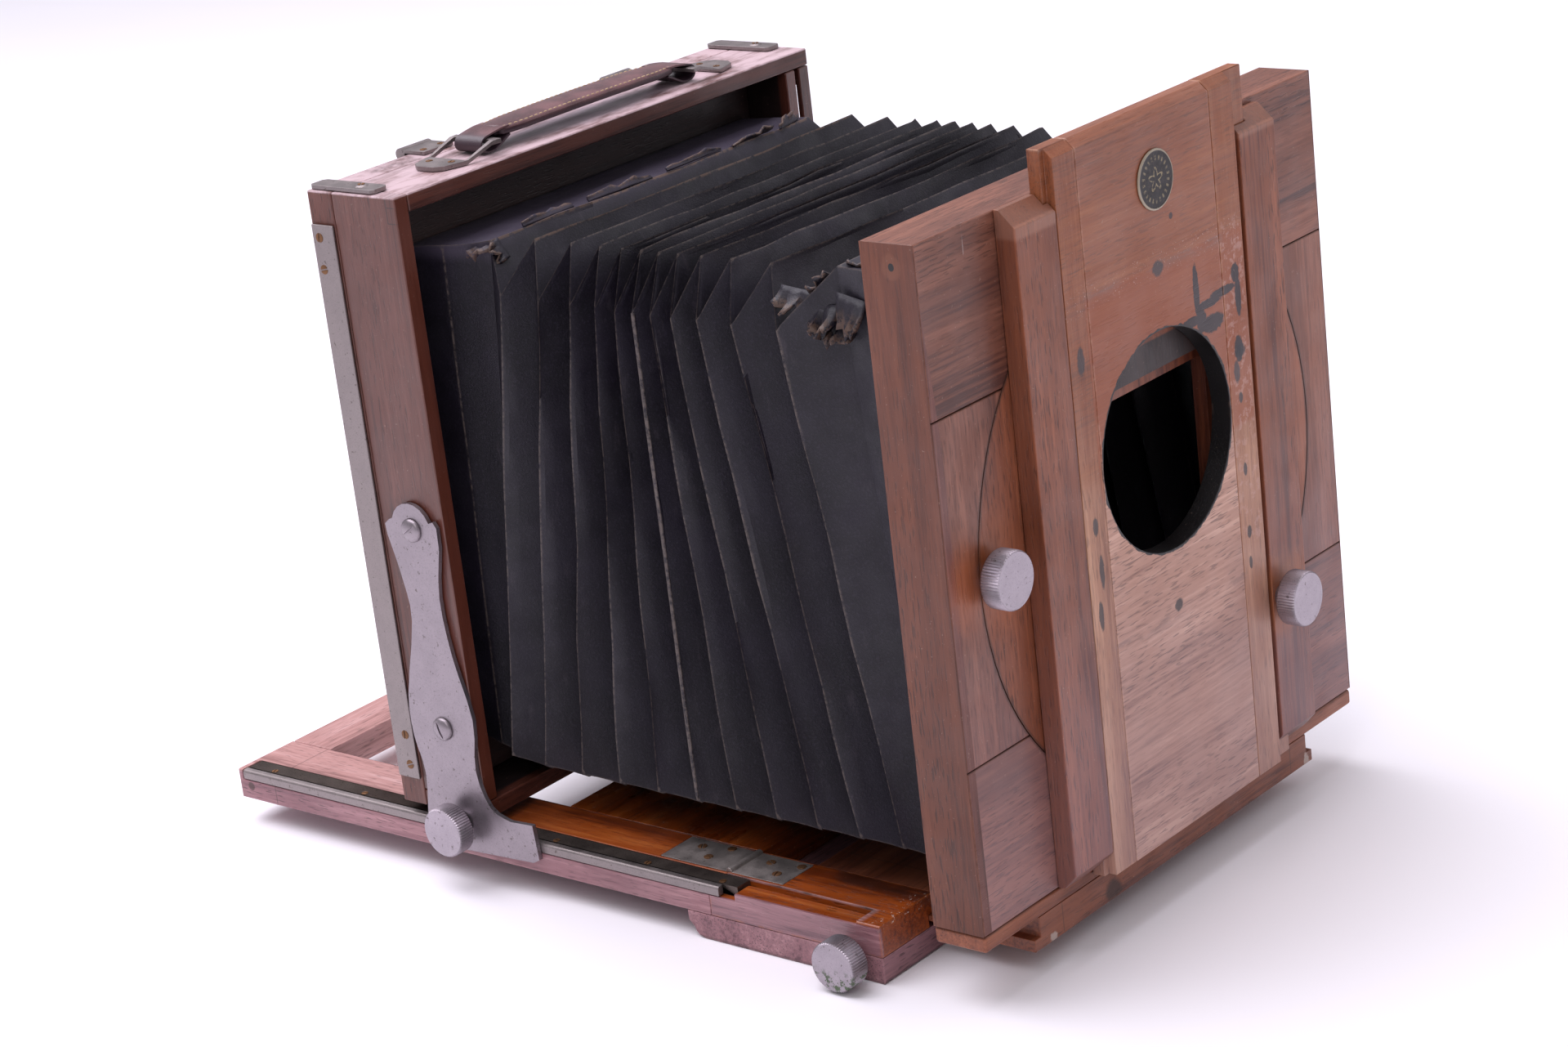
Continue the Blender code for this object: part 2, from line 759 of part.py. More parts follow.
for side, sign in (("left", -1), ("right", 1)):
    inner = sign * (BOX_HALF + 0.6)
    outer = sign * (BOX_HALF + 2.5)
    bracket = prism("bracket_" + side, outline, "X", min(inner, outer), max(inner, outer), "nickel")
    bore_at = (0, REAR_SHAFT_Y, REAR_SHAFT_Z)
    hole = rod("cut_bracket_" + side, SHAFT_R + 0.35, "X", bore_at, -135, 135, None, 24)
    boolean(bracket, hole)
    for row, (y, z) in enumerate(((261.4, 149.2), (261.0, 65.6))):
        dome_profile = [(0, 1.0), (4.6, 1.0), (4.6, 2.9), (3.6, 3.7), (1.8, 4.2), (0, 4.3)]
        dome = turned(
            "dome_" + side + "_" + str(row),
            [(r, sign * (BOX_HALF + h)) for r, h in dome_profile],
            "X",
            (0, y, z),
            None,
            20,
        )
        boolean(bracket, dome, "UNION")

pinion_shaft = rod(
    "pinion_shaft",
    SHAFT_R,
    "X",
    (0, REAR_SHAFT_Y, REAR_SHAFT_Z),
    -126.6,
    126.6,
    "rack_steel",
    20,
)
for side, sign in (("left", -1), ("right", 1)):
    wheel = prism(
        "gear_" + side,
        gear_outline(REAR_SHAFT_Y, REAR_SHAFT_Z, -math.pi / 2),
        "X",
        sign * 117.0 - 3.2,
        sign * 117.0 + 3.2,
        None,
    )
    boolean(pinion_shaft, wheel, "UNION")
set_pivot(pinion_shaft, (0, REAR_SHAFT_Y, REAR_SHAFT_Z))
side_knob("focus_knob_left", -1, REAR_SHAFT_Y, REAR_SHAFT_Z, 10.3, 126.9, 139.0)
side_knob("focus_knob_right", 1, REAR_SHAFT_Y, REAR_SHAFT_Z, 10.3, 126.9, 139.0)

# swinging catches that tie the back frame to the box
for side, sign in (("left", -1), ("right", 1)):
    cx = sign * CATCH_X
    plan = [
        (cx - 4.5, CATCH_FRONT + 1.6),
        (cx - 3.0, CATCH_FRONT),
        (cx + 3.0, CATCH_FRONT),
        (cx + 4.5, CATCH_FRONT + 1.6),
        (cx + 4.5, 291.6),
        (cx + 3.0, 293.2),
        (cx - 3.0, 293.2),
        (cx - 4.5, 291.6),
    ]
    catch = prism("catch_" + side, plan, "Z", BOX_Z1 + GAP, BOX_Z1 + 1.9, "nickel")
    head_profile = [(0, 1.2), (2.6, 1.2), (2.6, 2.1), (1.7, 2.5), (0, 2.6)]
    head_at = (cx, CATCH_PIVOT_Y, BOX_Z1)
    head = turned("catch_head_" + side, head_profile, "Z", head_at, None, 16)
    boolean(catch, head, "UNION")
    set_pivot(catch, head_at)

# handle: fork plates whose prongs rise to a bar, and a padded strap whose end loops ride on the bars
for side, sign in (("left", -1), ("right", 1)):
    bar = HANDLE_X + sign * BAR_X
    out = HANDLE_X + sign * PLATE_END
    plate_plan = [
        (out, HANDLE_Y - 4.0),
        (out - sign * 3.0, HANDLE_Y - 8.0),
        (out - sign * 11.0, HANDLE_Y - 10.5),
        (bar - sign * 1.6, HANDLE_Y - 12.2),
        (bar - sign * 1.6, HANDLE_Y + 12.2),
        (out - sign * 11.0, HANDLE_Y + 10.5),
        (out - sign * 3.0, HANDLE_Y + 8.0),
        (out, HANDLE_Y + 4.0),
    ]
    plate_side = [
        (out + sign, GAP),
        (out - sign * 13.0, GAP),
        (bar + sign * 3.4, BAR_LOW),
        (bar - sign * 3.0, BAR_LOW),
        (bar - sign * 3.0, BAR_HIGH),
        (bar + sign * 2.6, BAR_HIGH),
        (out - sign * 13.4, 2.0),
        (out + sign, 2.0),
    ]
    plate = prism("handle_plate_" + side, plate_plan, "Z", BOX_Z1, BOX_Z1 + 9.0, "nickel")
    raised = [(x, BOX_Z1 + z) for x, z in plate_side]
    bent = prism("plate_bend_" + side, raised, "Y", HANDLE_Y - 20, HANDLE_Y + 20, None)
    boolean(plate, bent, "INTERSECT")
    window = block(
        "cut_plate_" + side,
        tuple(sorted((bar + sign * 1.6, out - sign * 13.0))),
        (HANDLE_Y - 9.6, HANDLE_Y + 9.6),
        (270, 300),
        None,
    )
    boolean(plate, window)

GRIP_STEPS = 16
grip_x = [BAR_X * (2 * i / GRIP_STEPS - 1) for i in range(GRIP_STEPS + 1)]
upper = [(x, 9.0 + 0.8 * (1 - (x / BAR_X) ** 2)) for x in grip_x]
lower = [(x, 4.7 + 0.4 * (1 - (x / BAR_X) ** 2)) for x in grip_x[2:-2]]
loop_end = [
    (BAR_X + 3.0, 8.2),
    (BAR_X + 4.8, 6.0),
    (BAR_X + 4.8, 1.6),
    (BAR_X + 3.4, 0.4),
    (BAR_X - 4.4, 0.4),
    (BAR_X - 9.0, 2.6),
]
grip = upper + loop_end + lower[::-1] + [(-x, z) for x, z in loop_end[::-1]]
grip_world = [(HANDLE_X + x, BOX_Z1 + z) for x, z in grip]
handle = prism("handle", grip_world, "Y", HANDLE_Y - 9.0, HANDLE_Y + 9.0, "handle_leather")
for side, sign in (("left", -1), ("right", 1)):
    eye_x = HANDLE_X + sign * BAR_X
    eye = block(
        "cut_handle_" + side,
        (eye_x - 2.6, eye_x + 2.6),
        (HANDLE_Y - 20, HANDLE_Y + 20),
        (BOX_Z1 + 1.4, BOX_Z1 + BAR_HIGH + 0.4),
        None,
    )
    boolean(handle, eye)
set_pivot(handle, (HANDLE_X, HANDLE_Y, BOX_Z1))

# =====================================================================================================
# Bellows: side folds and top folds alternate; a front half and a rear half meet at the middle fold
# =====================================================================================================


def side_station(i):
    """(upper Y, lower Y) of side fold i: bunched at the top, even at the bottom."""
    u = (i - 5) / 5
    return 145.0 + 42.0 * u + 26.0 * u**3, 144.5 + 99.0 * u


def ring(y_top, y_low, half, z_top, z_low):
    return [(-half, y_top, z_top), (half, y_top, z_top), (half, y_low, z_low), (-half, y_low, z_low)]


def side_ring(i):
    y_top, y_low = side_station(i)
    return ring(y_top, y_low, SIDE_OUT - (2.0 if y_top > 205 else 0.0), TOP_IN, LOW_IN)


def top_ring(i):
    a = side_station(i)
    b = side_station(i + 1)
    return ring((a[0] + b[0]) / 2, (a[1] + b[1]) / 2, SIDE_IN, TOP_OUT, LOW_OUT)


def bellows_half(name, rings, finish):
    bm = bmesh.new()
    outer = [[bm.verts.new(place(p)) for p in one] for one in rings]
    inner = []
    for one in rings:
        shrunk = []
        for x, y, z in one:
            mid_z = (one[0][2] + one[3][2]) / 2
            new_x = x - math.copysign(CLOTH, x)
            new_z = z - math.copysign(CLOTH, z - mid_z)
            shrunk.append(bm.verts.new(place((new_x, y, new_z))))
        inner.append(shrunk)
    for skin in (outer, inner):
        for a, b in zip(skin, skin[1:]):
            for k in range(4):
                m = (k + 1) % 4
                bm.faces.new((a[k], a[m], b[m], b[k]))
    for end in (0, -1):
        for k in range(4):
            m = (k + 1) % 4
            bm.faces.new((outer[end][k], outer[end][m], inner[end][m], inner[end][k]))
    bmesh.ops.triangulate(bm, faces=bm.faces[:])
    return from_bmesh(bm, name, finish)


front_rings = [ring(27.9, 27.9, 106.0, 266.0, 45.0), ring(54.0, 36.0, SIDE_IN + 4, 266.0, LOW_OUT + 1)]
for i in range(5):
    front_rings.append(side_ring(i))
    front_rings.append(top_ring(i))
middle = side_ring(5)
front_rings.append([(x, y - GAP / 2, z) for x, y, z in middle])
rear_rings = [[(x, y + GAP / 2, z) for x, y, z in middle]]
for i in range(5, 10):
    rear_rings.append(top_ring(i))
    rear_rings.append(side_ring(i + 1))
rear_rings.append(ring(226.0, 247.0, SIDE_IN, 262.0, 44.0))
rear_rings.append(ring(248.0, 256.0, SIDE_IN + 4, 259.0, 50.0))
rear_rings.append(ring(267.9, 267.9, 101.0, 256.0, 54.0))
bellows_half("bellows_front", front_rings, "bellows_cloth")
bellows_half("bellows_rear", rear_rings, "bellows_cloth")
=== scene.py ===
import math
import random

import bmesh
import bpy
from mathutils import Matrix, Vector, noise


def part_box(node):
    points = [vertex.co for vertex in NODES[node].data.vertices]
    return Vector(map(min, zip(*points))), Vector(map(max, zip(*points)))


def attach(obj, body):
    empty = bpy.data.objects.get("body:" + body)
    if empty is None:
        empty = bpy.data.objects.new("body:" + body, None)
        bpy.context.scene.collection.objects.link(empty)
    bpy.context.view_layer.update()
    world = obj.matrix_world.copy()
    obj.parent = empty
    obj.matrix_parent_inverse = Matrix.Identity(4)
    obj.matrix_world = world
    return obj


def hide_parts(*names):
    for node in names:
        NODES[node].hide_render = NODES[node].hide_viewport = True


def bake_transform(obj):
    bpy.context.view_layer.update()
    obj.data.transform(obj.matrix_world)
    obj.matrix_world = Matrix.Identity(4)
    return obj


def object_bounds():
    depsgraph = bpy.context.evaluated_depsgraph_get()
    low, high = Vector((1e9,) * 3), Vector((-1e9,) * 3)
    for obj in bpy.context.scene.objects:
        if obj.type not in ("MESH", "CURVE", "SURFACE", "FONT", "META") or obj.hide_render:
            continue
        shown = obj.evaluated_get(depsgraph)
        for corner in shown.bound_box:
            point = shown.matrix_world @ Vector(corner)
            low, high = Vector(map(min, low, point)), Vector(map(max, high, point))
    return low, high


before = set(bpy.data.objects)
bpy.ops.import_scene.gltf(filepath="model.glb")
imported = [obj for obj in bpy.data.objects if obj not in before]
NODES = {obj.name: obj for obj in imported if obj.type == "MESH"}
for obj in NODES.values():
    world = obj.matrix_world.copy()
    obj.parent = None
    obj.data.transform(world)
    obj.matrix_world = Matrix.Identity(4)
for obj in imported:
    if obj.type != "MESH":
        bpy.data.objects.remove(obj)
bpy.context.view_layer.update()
Y_MID = 186.15  # the model's Y zero, in mm behind the front frame's face
SIDES = (("left", -1), ("right", 1))


def at(x, y, z):
    """A point given in mm, with Y counted from the front frame's face."""
    return Vector((x, y - Y_MID, z)) / 1000


def srgb(r, g, b):
    """Linear colour from 0-255 display values."""
    parts = []
    for c in (r, g, b):
        c /= 255
        parts.append(c / 12.92 if c <= 0.04045 else ((c + 0.055) / 1.055) ** 2.4)
    return (*parts, 1.0)


# Materials


class Graph:
    """A node material under construction. Positions are in metres, in the model's frame."""

    def __init__(self, name):
        self.material = bpy.data.materials.new(name)
        self.material.use_nodes = True
        self.tree = self.material.node_tree
        self.shader = self.tree.nodes["Principled BSDF"]
        self.where = self.add("ShaderNodeTexCoord").outputs["Object"]
        split = self.add("ShaderNodeSeparateXYZ")
        self.feed(split.inputs[0], self.where)
        self.axes = dict(zip("XYZ", split.outputs))
        self.color = None

    def add(self, kind, **settings):
        node = self.tree.nodes.new(kind)
        for key, value in settings.items():
            setattr(node, key, value)
        return node

    def feed(self, socket, value):
        if isinstance(value, bpy.types.NodeSocket):
            self.tree.links.new(value, socket)
        else:
            socket.default_value = value

    def math(self, operation, a, b=0.0, clamp=False):
        node = self.add("ShaderNodeMath", operation=operation, use_clamp=clamp)
        self.feed(node.inputs[0], a)
        self.feed(node.inputs[1], b)
        return node.outputs[0]

    def times(self, *values):
        result = values[0]
        for value in values[1:]:
            result = self.math("MULTIPLY", result, value)
        return result

    def level(self, value, low, high, start=0.0, end=1.0):
        node = self.add("ShaderNodeMapRange", interpolation_type="SMOOTHSTEP")
        for socket, v in zip(node.inputs, (value, low, high, start, end)):
            self.feed(socket, v)
        return node.outputs[0]

    def mapped(self, shift, scale):
        node = self.add("ShaderNodeMapping")
        self.feed(node.inputs["Vector"], self.where)
        node.inputs["Location"].default_value = shift
        node.inputs["Scale"].default_value = scale
        return node.outputs[0]

    def noise(self, vector, scale, detail=2.0, rough=0.5, warp=0.0):
        node = self.add("ShaderNodeTexNoise")
        self.feed(node.inputs["Vector"], vector)
        names = ("Scale", "Detail", "Roughness", "Distortion")
        for key, value in zip(names, (scale, detail, rough, warp)):
            node.inputs[key].default_value = value
        return node.outputs["Fac"]

    def mix(self, share, a, b, blend="MIX"):
        node = self.add("ShaderNodeMix", data_type="RGBA", blend_type=blend)
        self.feed(node.inputs[0], share)
        self.feed(node.inputs[6], a)
        self.feed(node.inputs[7], b)
        return node.outputs[2]

    def tint(self, share, color, amount=1.0, blend="MIX"):
        self.color = self.mix(self.times(share, amount), self.color, color, blend)

    def span(self, axis, low, high, soft=0.3):
        """1 between two places in mm along an axis; Y counts from the front frame's face."""
        if axis == "Y":
            low, high = low - Y_MID, high - Y_MID
        low, high, soft = low / 1000, high / 1000, soft / 1000
        rise = self.level(self.axes[axis], low - soft, low + soft)
        fall = self.level(self.axes[axis], high - soft, high + soft, 1.0, 0.0)
        return self.times(rise, fall)

    def spot(self, centre, radii, soft=0.3, ragged=0.5, scale=260):
        """1 inside a ragged ellipsoid, in mm."""
        away = self.add("ShaderNodeVectorMath", operation="SUBTRACT")
        self.feed(away.inputs[0], self.where)
        away.inputs[1].default_value = at(*centre)
        unit = self.add("ShaderNodeVectorMath", operation="DIVIDE")
        self.feed(unit.inputs[0], away.outputs[0])
        unit.inputs[1].default_value = Vector(radii) / 1000
        length = self.add("ShaderNodeVectorMath", operation="LENGTH")
        self.feed(length.inputs[0], unit.outputs[0])
        wobble = self.level(self.noise(self.where, scale, 3, 0.6), 0.0, 1.0, -ragged, ragged)
        return self.level(self.math("ADD", length.outputs["Value"], wobble), 1 - soft, 1 + soft, 1.0, 0.0)

    def rim(self, node, width):
        """1 along the edges of a node's own box, fading over a width in mm."""
        low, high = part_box(node)
        depths = []
        for k, axis in enumerate("XYZ"):
            a = self.math("SUBTRACT", self.axes[axis], low[k])
            b = self.math("SUBTRACT", high[k], self.axes[axis])
            depths.append(self.math("MINIMUM", a, b))
        x, y, z = depths
        pairs = [self.math("MAXIMUM", x, y), self.math("MAXIMUM", y, z), self.math("MAXIMUM", x, z)]
        nearest = self.math("MINIMUM", self.math("MINIMUM", pairs[0], pairs[1]), pairs[2])
        worn = self.level(self.noise(self.where, 170, 4, 0.65), 0.4, 0.62)
        return self.times(self.level(nearest, 0.0, width / 1000, 1.0, 0.0), worn)

    def finish(self, rough, relief=None, depth=0.0002, strength=0.6, **values):
        """Connect the colour, the roughness range (smooth, rough, mask) and the relief."""
        self.feed(self.shader.inputs["Base Color"], self.color)
        low, high, mask = rough
        self.feed(self.shader.inputs["Roughness"], self.level(mask, 0.2, 0.8, low, high))
        if relief is not None:
            bump = self.add("ShaderNodeBump")
            bump.inputs["Strength"].default_value = strength
            bump.inputs["Distance"].default_value = depth
            self.feed(bump.inputs["Height"], relief)
            self.feed(self.shader.inputs["Normal"], bump.outputs[0])
        for key, value in values.items():
            self.shader.inputs[key.replace("_", " ")].default_value = value
        return self.material


TONES = {
    "frame": ((77, 42, 34), (120, 72, 55), (145, 92, 72)),
    "lip": ((73, 32, 17), (97, 48, 27), (111, 59, 36)),
    "stile": ((132, 84, 62), (168, 118, 90), (192, 144, 114)),
    "pale": ((140, 98, 82), (180, 135, 115), (206, 162, 142)),
    "orange": ((102, 44, 12), (133, 64, 21), (149, 79, 31)),
    "rail": ((87, 41, 27), (129, 71, 46), (153, 89, 60)),
    "dark": ((66, 34, 29), (106, 60, 51), (132, 82, 70)),
    "base": ((100, 65, 73), (145, 101, 107), (175, 129, 133)),
    "bed": ((104, 41, 9), (152, 70, 20), (177, 95, 40)),
    "box": ((62, 29, 22), (93, 49, 38), (110, 64, 53)),
    "pink": ((139, 94, 90), (182, 134, 129), (204, 161, 158)),
}
SOOT = srgb(22, 19, 20)


def timber(g, grain, tones, seed, pore=0.7):
    """Colour, pores and fine streaks of a board whose grain runs along an axis."""
    dark, mid, light = [srgb(*t) for t in TONES[tones]]
    k = "XYZ".index(grain)
    shift = tuple(seed * v for v in (0.37, 0.61, 0.23))
    stretch = [1.0, 1.0, 1.0]
    stretch[k] = 0.045
    along = g.mapped(shift, stretch)
    wave = g.noise(along, 55, 3, 0.55, 0.7)
    fine = g.noise(along, 620, 3, 0.6)
    tone = g.math("ADD", g.times(wave, 0.6), g.times(fine, 0.4))
    color = g.mix(g.level(tone, 0.36, 0.5), dark, mid)
    color = g.mix(g.level(tone, 0.5, 0.64), color, light)
    drift = g.noise(g.mapped(shift, (1, 1, 1)), 16, 2, 0.5)
    color = g.mix(g.level(drift, 0.45, 0.78, 0.0, 0.5), color, dark)
    stretch[k] = 0.1
    cells = g.noise(g.mapped(shift, stretch), 1500, 1, 0.4)
    crowd = g.level(g.noise(along, 40, 2), 0.38, 0.62, 0.25, 1.0)
    pores = g.times(g.level(cells, 0.58, 0.67), crowd)
    ink = tuple(v * 0.35 for v in dark[:3]) + (1.0,)
    color = g.mix(g.times(pores, pore), color, ink)
    return color, pores, fine


def wood(name, grain, tones, seed, pore=0.7, rough=(0.38, 0.6), coat=0.12, edges=None, extra=None):
    g = Graph(name)
    g.color, pores, fine = timber(g, grain, tones, seed, pore)
    light = srgb(*TONES[tones][2])
    if extra:
        extra(g)
    if edges:
        g.tint(g.rim(edges, 1.1), light, 0.45)
    dust = g.level(g.noise(g.mapped((seed, 0, 0), (1, 1, 1)), 900, 3, 0.6), 0.66, 0.74)
    g.tint(dust, srgb(190, 165, 148), 0.25)
    relief = g.math("SUBTRACT", g.times(fine, 0.35), pores)
    blotch = g.noise(g.where, 60, 3)
    return g.finish((*rough, blotch), relief, 0.00012, 0.7, Coat_Weight=coat, Coat_Roughness=0.3)


def metal(name, tone, rough, seed, speck=0.5, patina=None):
    """Worn plated or bare metal: cloudy, speckled and finely scratched."""
    g = Graph(name)
    base = srgb(*tone)
    cloud = g.noise(g.mapped((seed, seed, 0), (1, 1, 1)), 90, 4, 0.62)
    g.color = g.mix(g.level(cloud, 0.3, 0.7), tuple(v * 0.8 for v in base[:3]) + (1,), base)
    grit = g.noise(g.where, 1700, 3, 0.7)
    g.tint(g.level(grit, 0.52, 0.7), tuple(v * 0.3 for v in base[:3]) + (1,), speck)
    pits = g.level(g.noise(g.where, 520, 3, 0.6), 0.64, 0.7)
    g.tint(pits, srgb(70, 60, 50), 0.6)
    if patina:
        patina(g)
    return g.finish((*rough, cloud), grit, 0.00005, 0.5, Metallic=0.85)


def verdigris(g):
    corroded = g.level(g.noise(g.where, 330, 5, 0.7), 0.5, 0.58)
    low = g.span("Z", -5, 9, 3.0)
    g.tint(g.times(corroded, low), srgb(84, 98, 74), 0.95)


def dress(node, material, bevel=0.35):
    """Give a CAD node its material and small rounded edges."""
    obj = NODES[node]
    obj.data.materials.clear()
    obj.data.materials.append(material)
    for polygon in obj.data.polygons:
        polygon.use_smooth = True
    weld = obj.modifiers.new("weld", "WELD")
    weld.merge_threshold = 1e-5
    if bevel:
        round_off = obj.modifiers.new("bevel", "BEVEL")
        round_off.width = bevel / 1000
        round_off.segments = 2
        round_off.limit_method = "ANGLE"
        round_off.angle_limit = math.radians(34)
        obj.modifiers.new("normals", "WEIGHTED_NORMAL")
    else:
        split = obj.modifiers.new("split", "EDGE_SPLIT")
        split.split_angle = math.radians(34)


# ---- front standard ----


def lipping(g):
    """The strips that cover the boards' ends, and a darker strip where they show at the front."""
    lip, _, _ = timber(g, "Z", "lip", 3.1, 0.6)
    shade, _, _ = timber(g, "Z", "dark", 5.7, 0.4)
    front = g.span("Y", -1, 0.8, 0.2)
    wide = g.level(g.axes["Z"], 0.284, 0.2, 0.0, 0.0045)
    band = g.math("LESS_THAN", g.axes["X"], g.math("ADD", wide, -0.125))
    g.color = g.mix(g.times(band, front), g.color, shade)
    left = g.span("X", -126, -124.5, 0.1)
    right = g.span("X", 124.5, 126, 0.1)
    g.color = g.mix(g.math("MAXIMUM", left, right), g.color, lip)
    hole = g.spot((-125, 9.7, 275.9), (4.2, 4.0, 4.6), 0.2, 0.2)
    g.tint(g.times(hole, left), srgb(120, 72, 50), 0.5)
    core = g.spot((-125, 9.7, 275.9), (1.3, 1.3, 1.5), 0.1, 0.1)
    g.tint(core, SOOT)


def ring_line(g):
    """Dark gap and worn line round the turntable."""
    x, z = g.axes["X"], g.math("ADD", g.axes["Z"], -0.155)
    reach = g.math("SQRT", g.math("ADD", g.times(x, x), g.times(z, z)))
    near = g.times(g.level(reach, 0.1055, 0.1068), g.level(reach, 0.1072, 0.1085, 1.0, 0.0))
    g.tint(near, srgb(46, 26, 20), 0.7)


def low_dust_and_bounce_light(g):
    """Dust and painted bounce light from the floor on the lower part of the front."""
    g.tint(g.level(g.axes["Z"], 0.17, 0.03), srgb(165, 143, 155), 0.25)


def front_extra(g):
    low_dust_and_bounce_light(g)
    lipping(g)
    ring_line(g)
    for z in (93.0, 221.5):
        g.tint(g.span("Z", z - 0.25, z + 0.25, 0.2), srgb(50, 28, 20), 0.6)
    # painted warm reflection of the knob on the front face
    knob_reflection = g.spot((-115, 0, 159), (9, 4, 13), 0.6, 0.2)
    g.tint(g.times(knob_reflection, g.span("Y", -1, 1)), srgb(184, 96, 44), 0.4)
    scratch = g.level(g.noise(g.mapped((0, 0, 0), (1, 1, 0.06)), 900, 1), 0.7, 0.73)
    g.tint(g.times(scratch, g.spot((-95, 0, 274), (3, 3, 14), 0.3, 0.3)), srgb(200, 186, 180), 0.9)


def disc_extra(g):
    ring_line(g)
    # painted warm reflection of the knob on the disc
    knob_reflection = g.spot((-96, 0, 158), (10, 4, 18), 0.6, 0.2)
    g.tint(knob_reflection, srgb(186, 100, 46), 0.45)
    behind_hole = g.times(g.span("X", -55, 59, 0.5), g.span("Z", 112, 212, 0.5))
    g.tint(g.times(behind_hole, g.span("Y", -1, 0.6, 0.3)), SOOT, 0.92)


def rail_extra(g):
    low_dust_and_bounce_light(g)
    top = g.span("Z", 274, 290, 1.0)
    g.tint(top, srgb(186, 142, 122), 0.3)
    # painted warm reflection of the knob on the rail
    knob_reflection = g.spot((66, -9, 93), (22, 6, 13), 0.6, 0.25)
    g.tint(knob_reflection, srgb(188, 108, 50), 0.5)
    # painted shade on the rail's side faces
    side = g.span("Y", -8.2, 0, 0.4)
    g.tint(side, srgb(92, 48, 30), 0.45)


def ledge_extra(g):
    g.tint(g.span("Z", 29.3, 31, 0.2), srgb(60, 34, 26), 0.5)


# holes, plugs and dark stains on the rising panel: centre X and Z, half sizes
PANEL_SPOTS = [
    (2.0, 241.4, 3.4, 2.8),
    (-2.1, 113.5, 2.6, 2.4),
    (-49.3, 221.7, 2.2, 5.2),
    (-49.4, 160.2, 1.6, 3.6),
    (-47.9, 142.6, 1.4, 6.0),
    (-50.5, 126.5, 1.5, 5.5),
    (50.6, 196.0, 3.6, 2.6),
    (47.6, 188.5, 2.0, 4.0),
    (49.0, 178.0, 1.3, 2.2),
    (48.3, 150.0, 1.2, 2.6),
    (48.0, 125.0, 1.4, 2.4),
    (47.4, 113.0, 1.0, 2.6),
    (12.6, 258.0, 1.2, 1.2),
]


def panel_extra(g):
    orange, _, _ = timber(g, "X", "orange", 7.7, 0.6)
    face = g.span("Y", -12, -8.0, 0.2)
    upper = g.level(g.math("ADD", g.axes["Z"], g.times(g.noise(g.where, 30, 2), 0.02)), 0.165, 0.215)
    g.color = g.mix(g.times(upper, 0.75), g.color, orange)
    fresh = g.times(g.span("X", -44, 57, 0.6), g.span("Z", 168, 243, 1.2))
    g.tint(g.times(fresh, face), srgb(146, 66, 18), 0.5)
    streaks = g.level(g.noise(g.mapped((0, 0, 0.3), (0.2, 1, 1)), 260, 4, 0.7), 0.42, 0.6)
    for z, tall in ((243.5, 5.0), (111.0, 5.5)):
        tilt = g.math("ADD", g.axes["Z"], g.times(g.axes["X"], 0.03))
        rise = g.level(tilt, (z - tall) / 1000, z / 1000)
        band = g.times(rise, g.level(tilt, z / 1000, (z + 1) / 1000, 1.0, 0.0))
        g.tint(g.times(band, face, g.span("X", -44, 44, 2), streaks), srgb(120, 92, 84), 0.6)
    speck = g.level(g.noise(g.where, 1300, 3, 0.7), 0.62, 0.7)
    pale = g.times(speck, g.span("Z", 238, 248, 2), face)
    g.tint(pale, srgb(206, 180, 168), 0.7)
    right = g.times(g.span("X", 42, 57, 1), g.span("Z", 120, 246, 3))
    tinted_patch = g.level(g.noise(g.where, 240, 4, 0.7), 0.5, 0.62)
    g.tint(g.times(right, tinted_patch, face), srgb(190, 150, 138), 0.45)
    low_dust_and_bounce_light(g)
    for x, z, wide, tall in PANEL_SPOTS:
        g.tint(g.times(g.spot((x, -9, z), (wide, 3, tall), 0.18, 0.25, 500), face), srgb(52, 44, 46), 0.9)
    # dark glue run above and round the lens hole
    run = g.spot((25.0, -9, 226), (1.9, 3, 10.5), 0.12, 0.2, 600)
    for centre, radii in (
        ((27, -9, 214.5), (3.2, 3, 5.0)),
        ((32, -9, 219.5), (8.5, 3, 1.7)),
        ((42, -9, 221.3), (8.5, 3, 1.8)),
        ((51, -9, 226), (2.6, 3, 3.6)),
        ((52, -9, 217), (2.0, 3, 8.0)),
        ((21, -9, 215.5), (7.0, 3, 2.0)),
        ((34, -9, 211.5), (7.5, 3, 3.4)),
        ((50, -9, 197), (2.8, 3, 5.0)),
    ):
        run = g.math("MAXIMUM", run, g.spot(centre, radii, 0.12, 0.2, 600))
    g.tint(g.times(run, face), srgb(24, 20, 28), 0.95)
    x, z = g.axes["X"], g.math("ADD", g.axes["Z"], -0.177)
    reach = g.math("SQRT", g.math("ADD", g.times(x, x), g.times(z, z)))
    uneven = g.times(g.noise(g.where, 200, 3), 0.0026)
    bore = g.level(g.math("SUBTRACT", reach, uneven), 0.0408, 0.0412, 1.0, 0.0)
    g.tint(bore, SOOT)


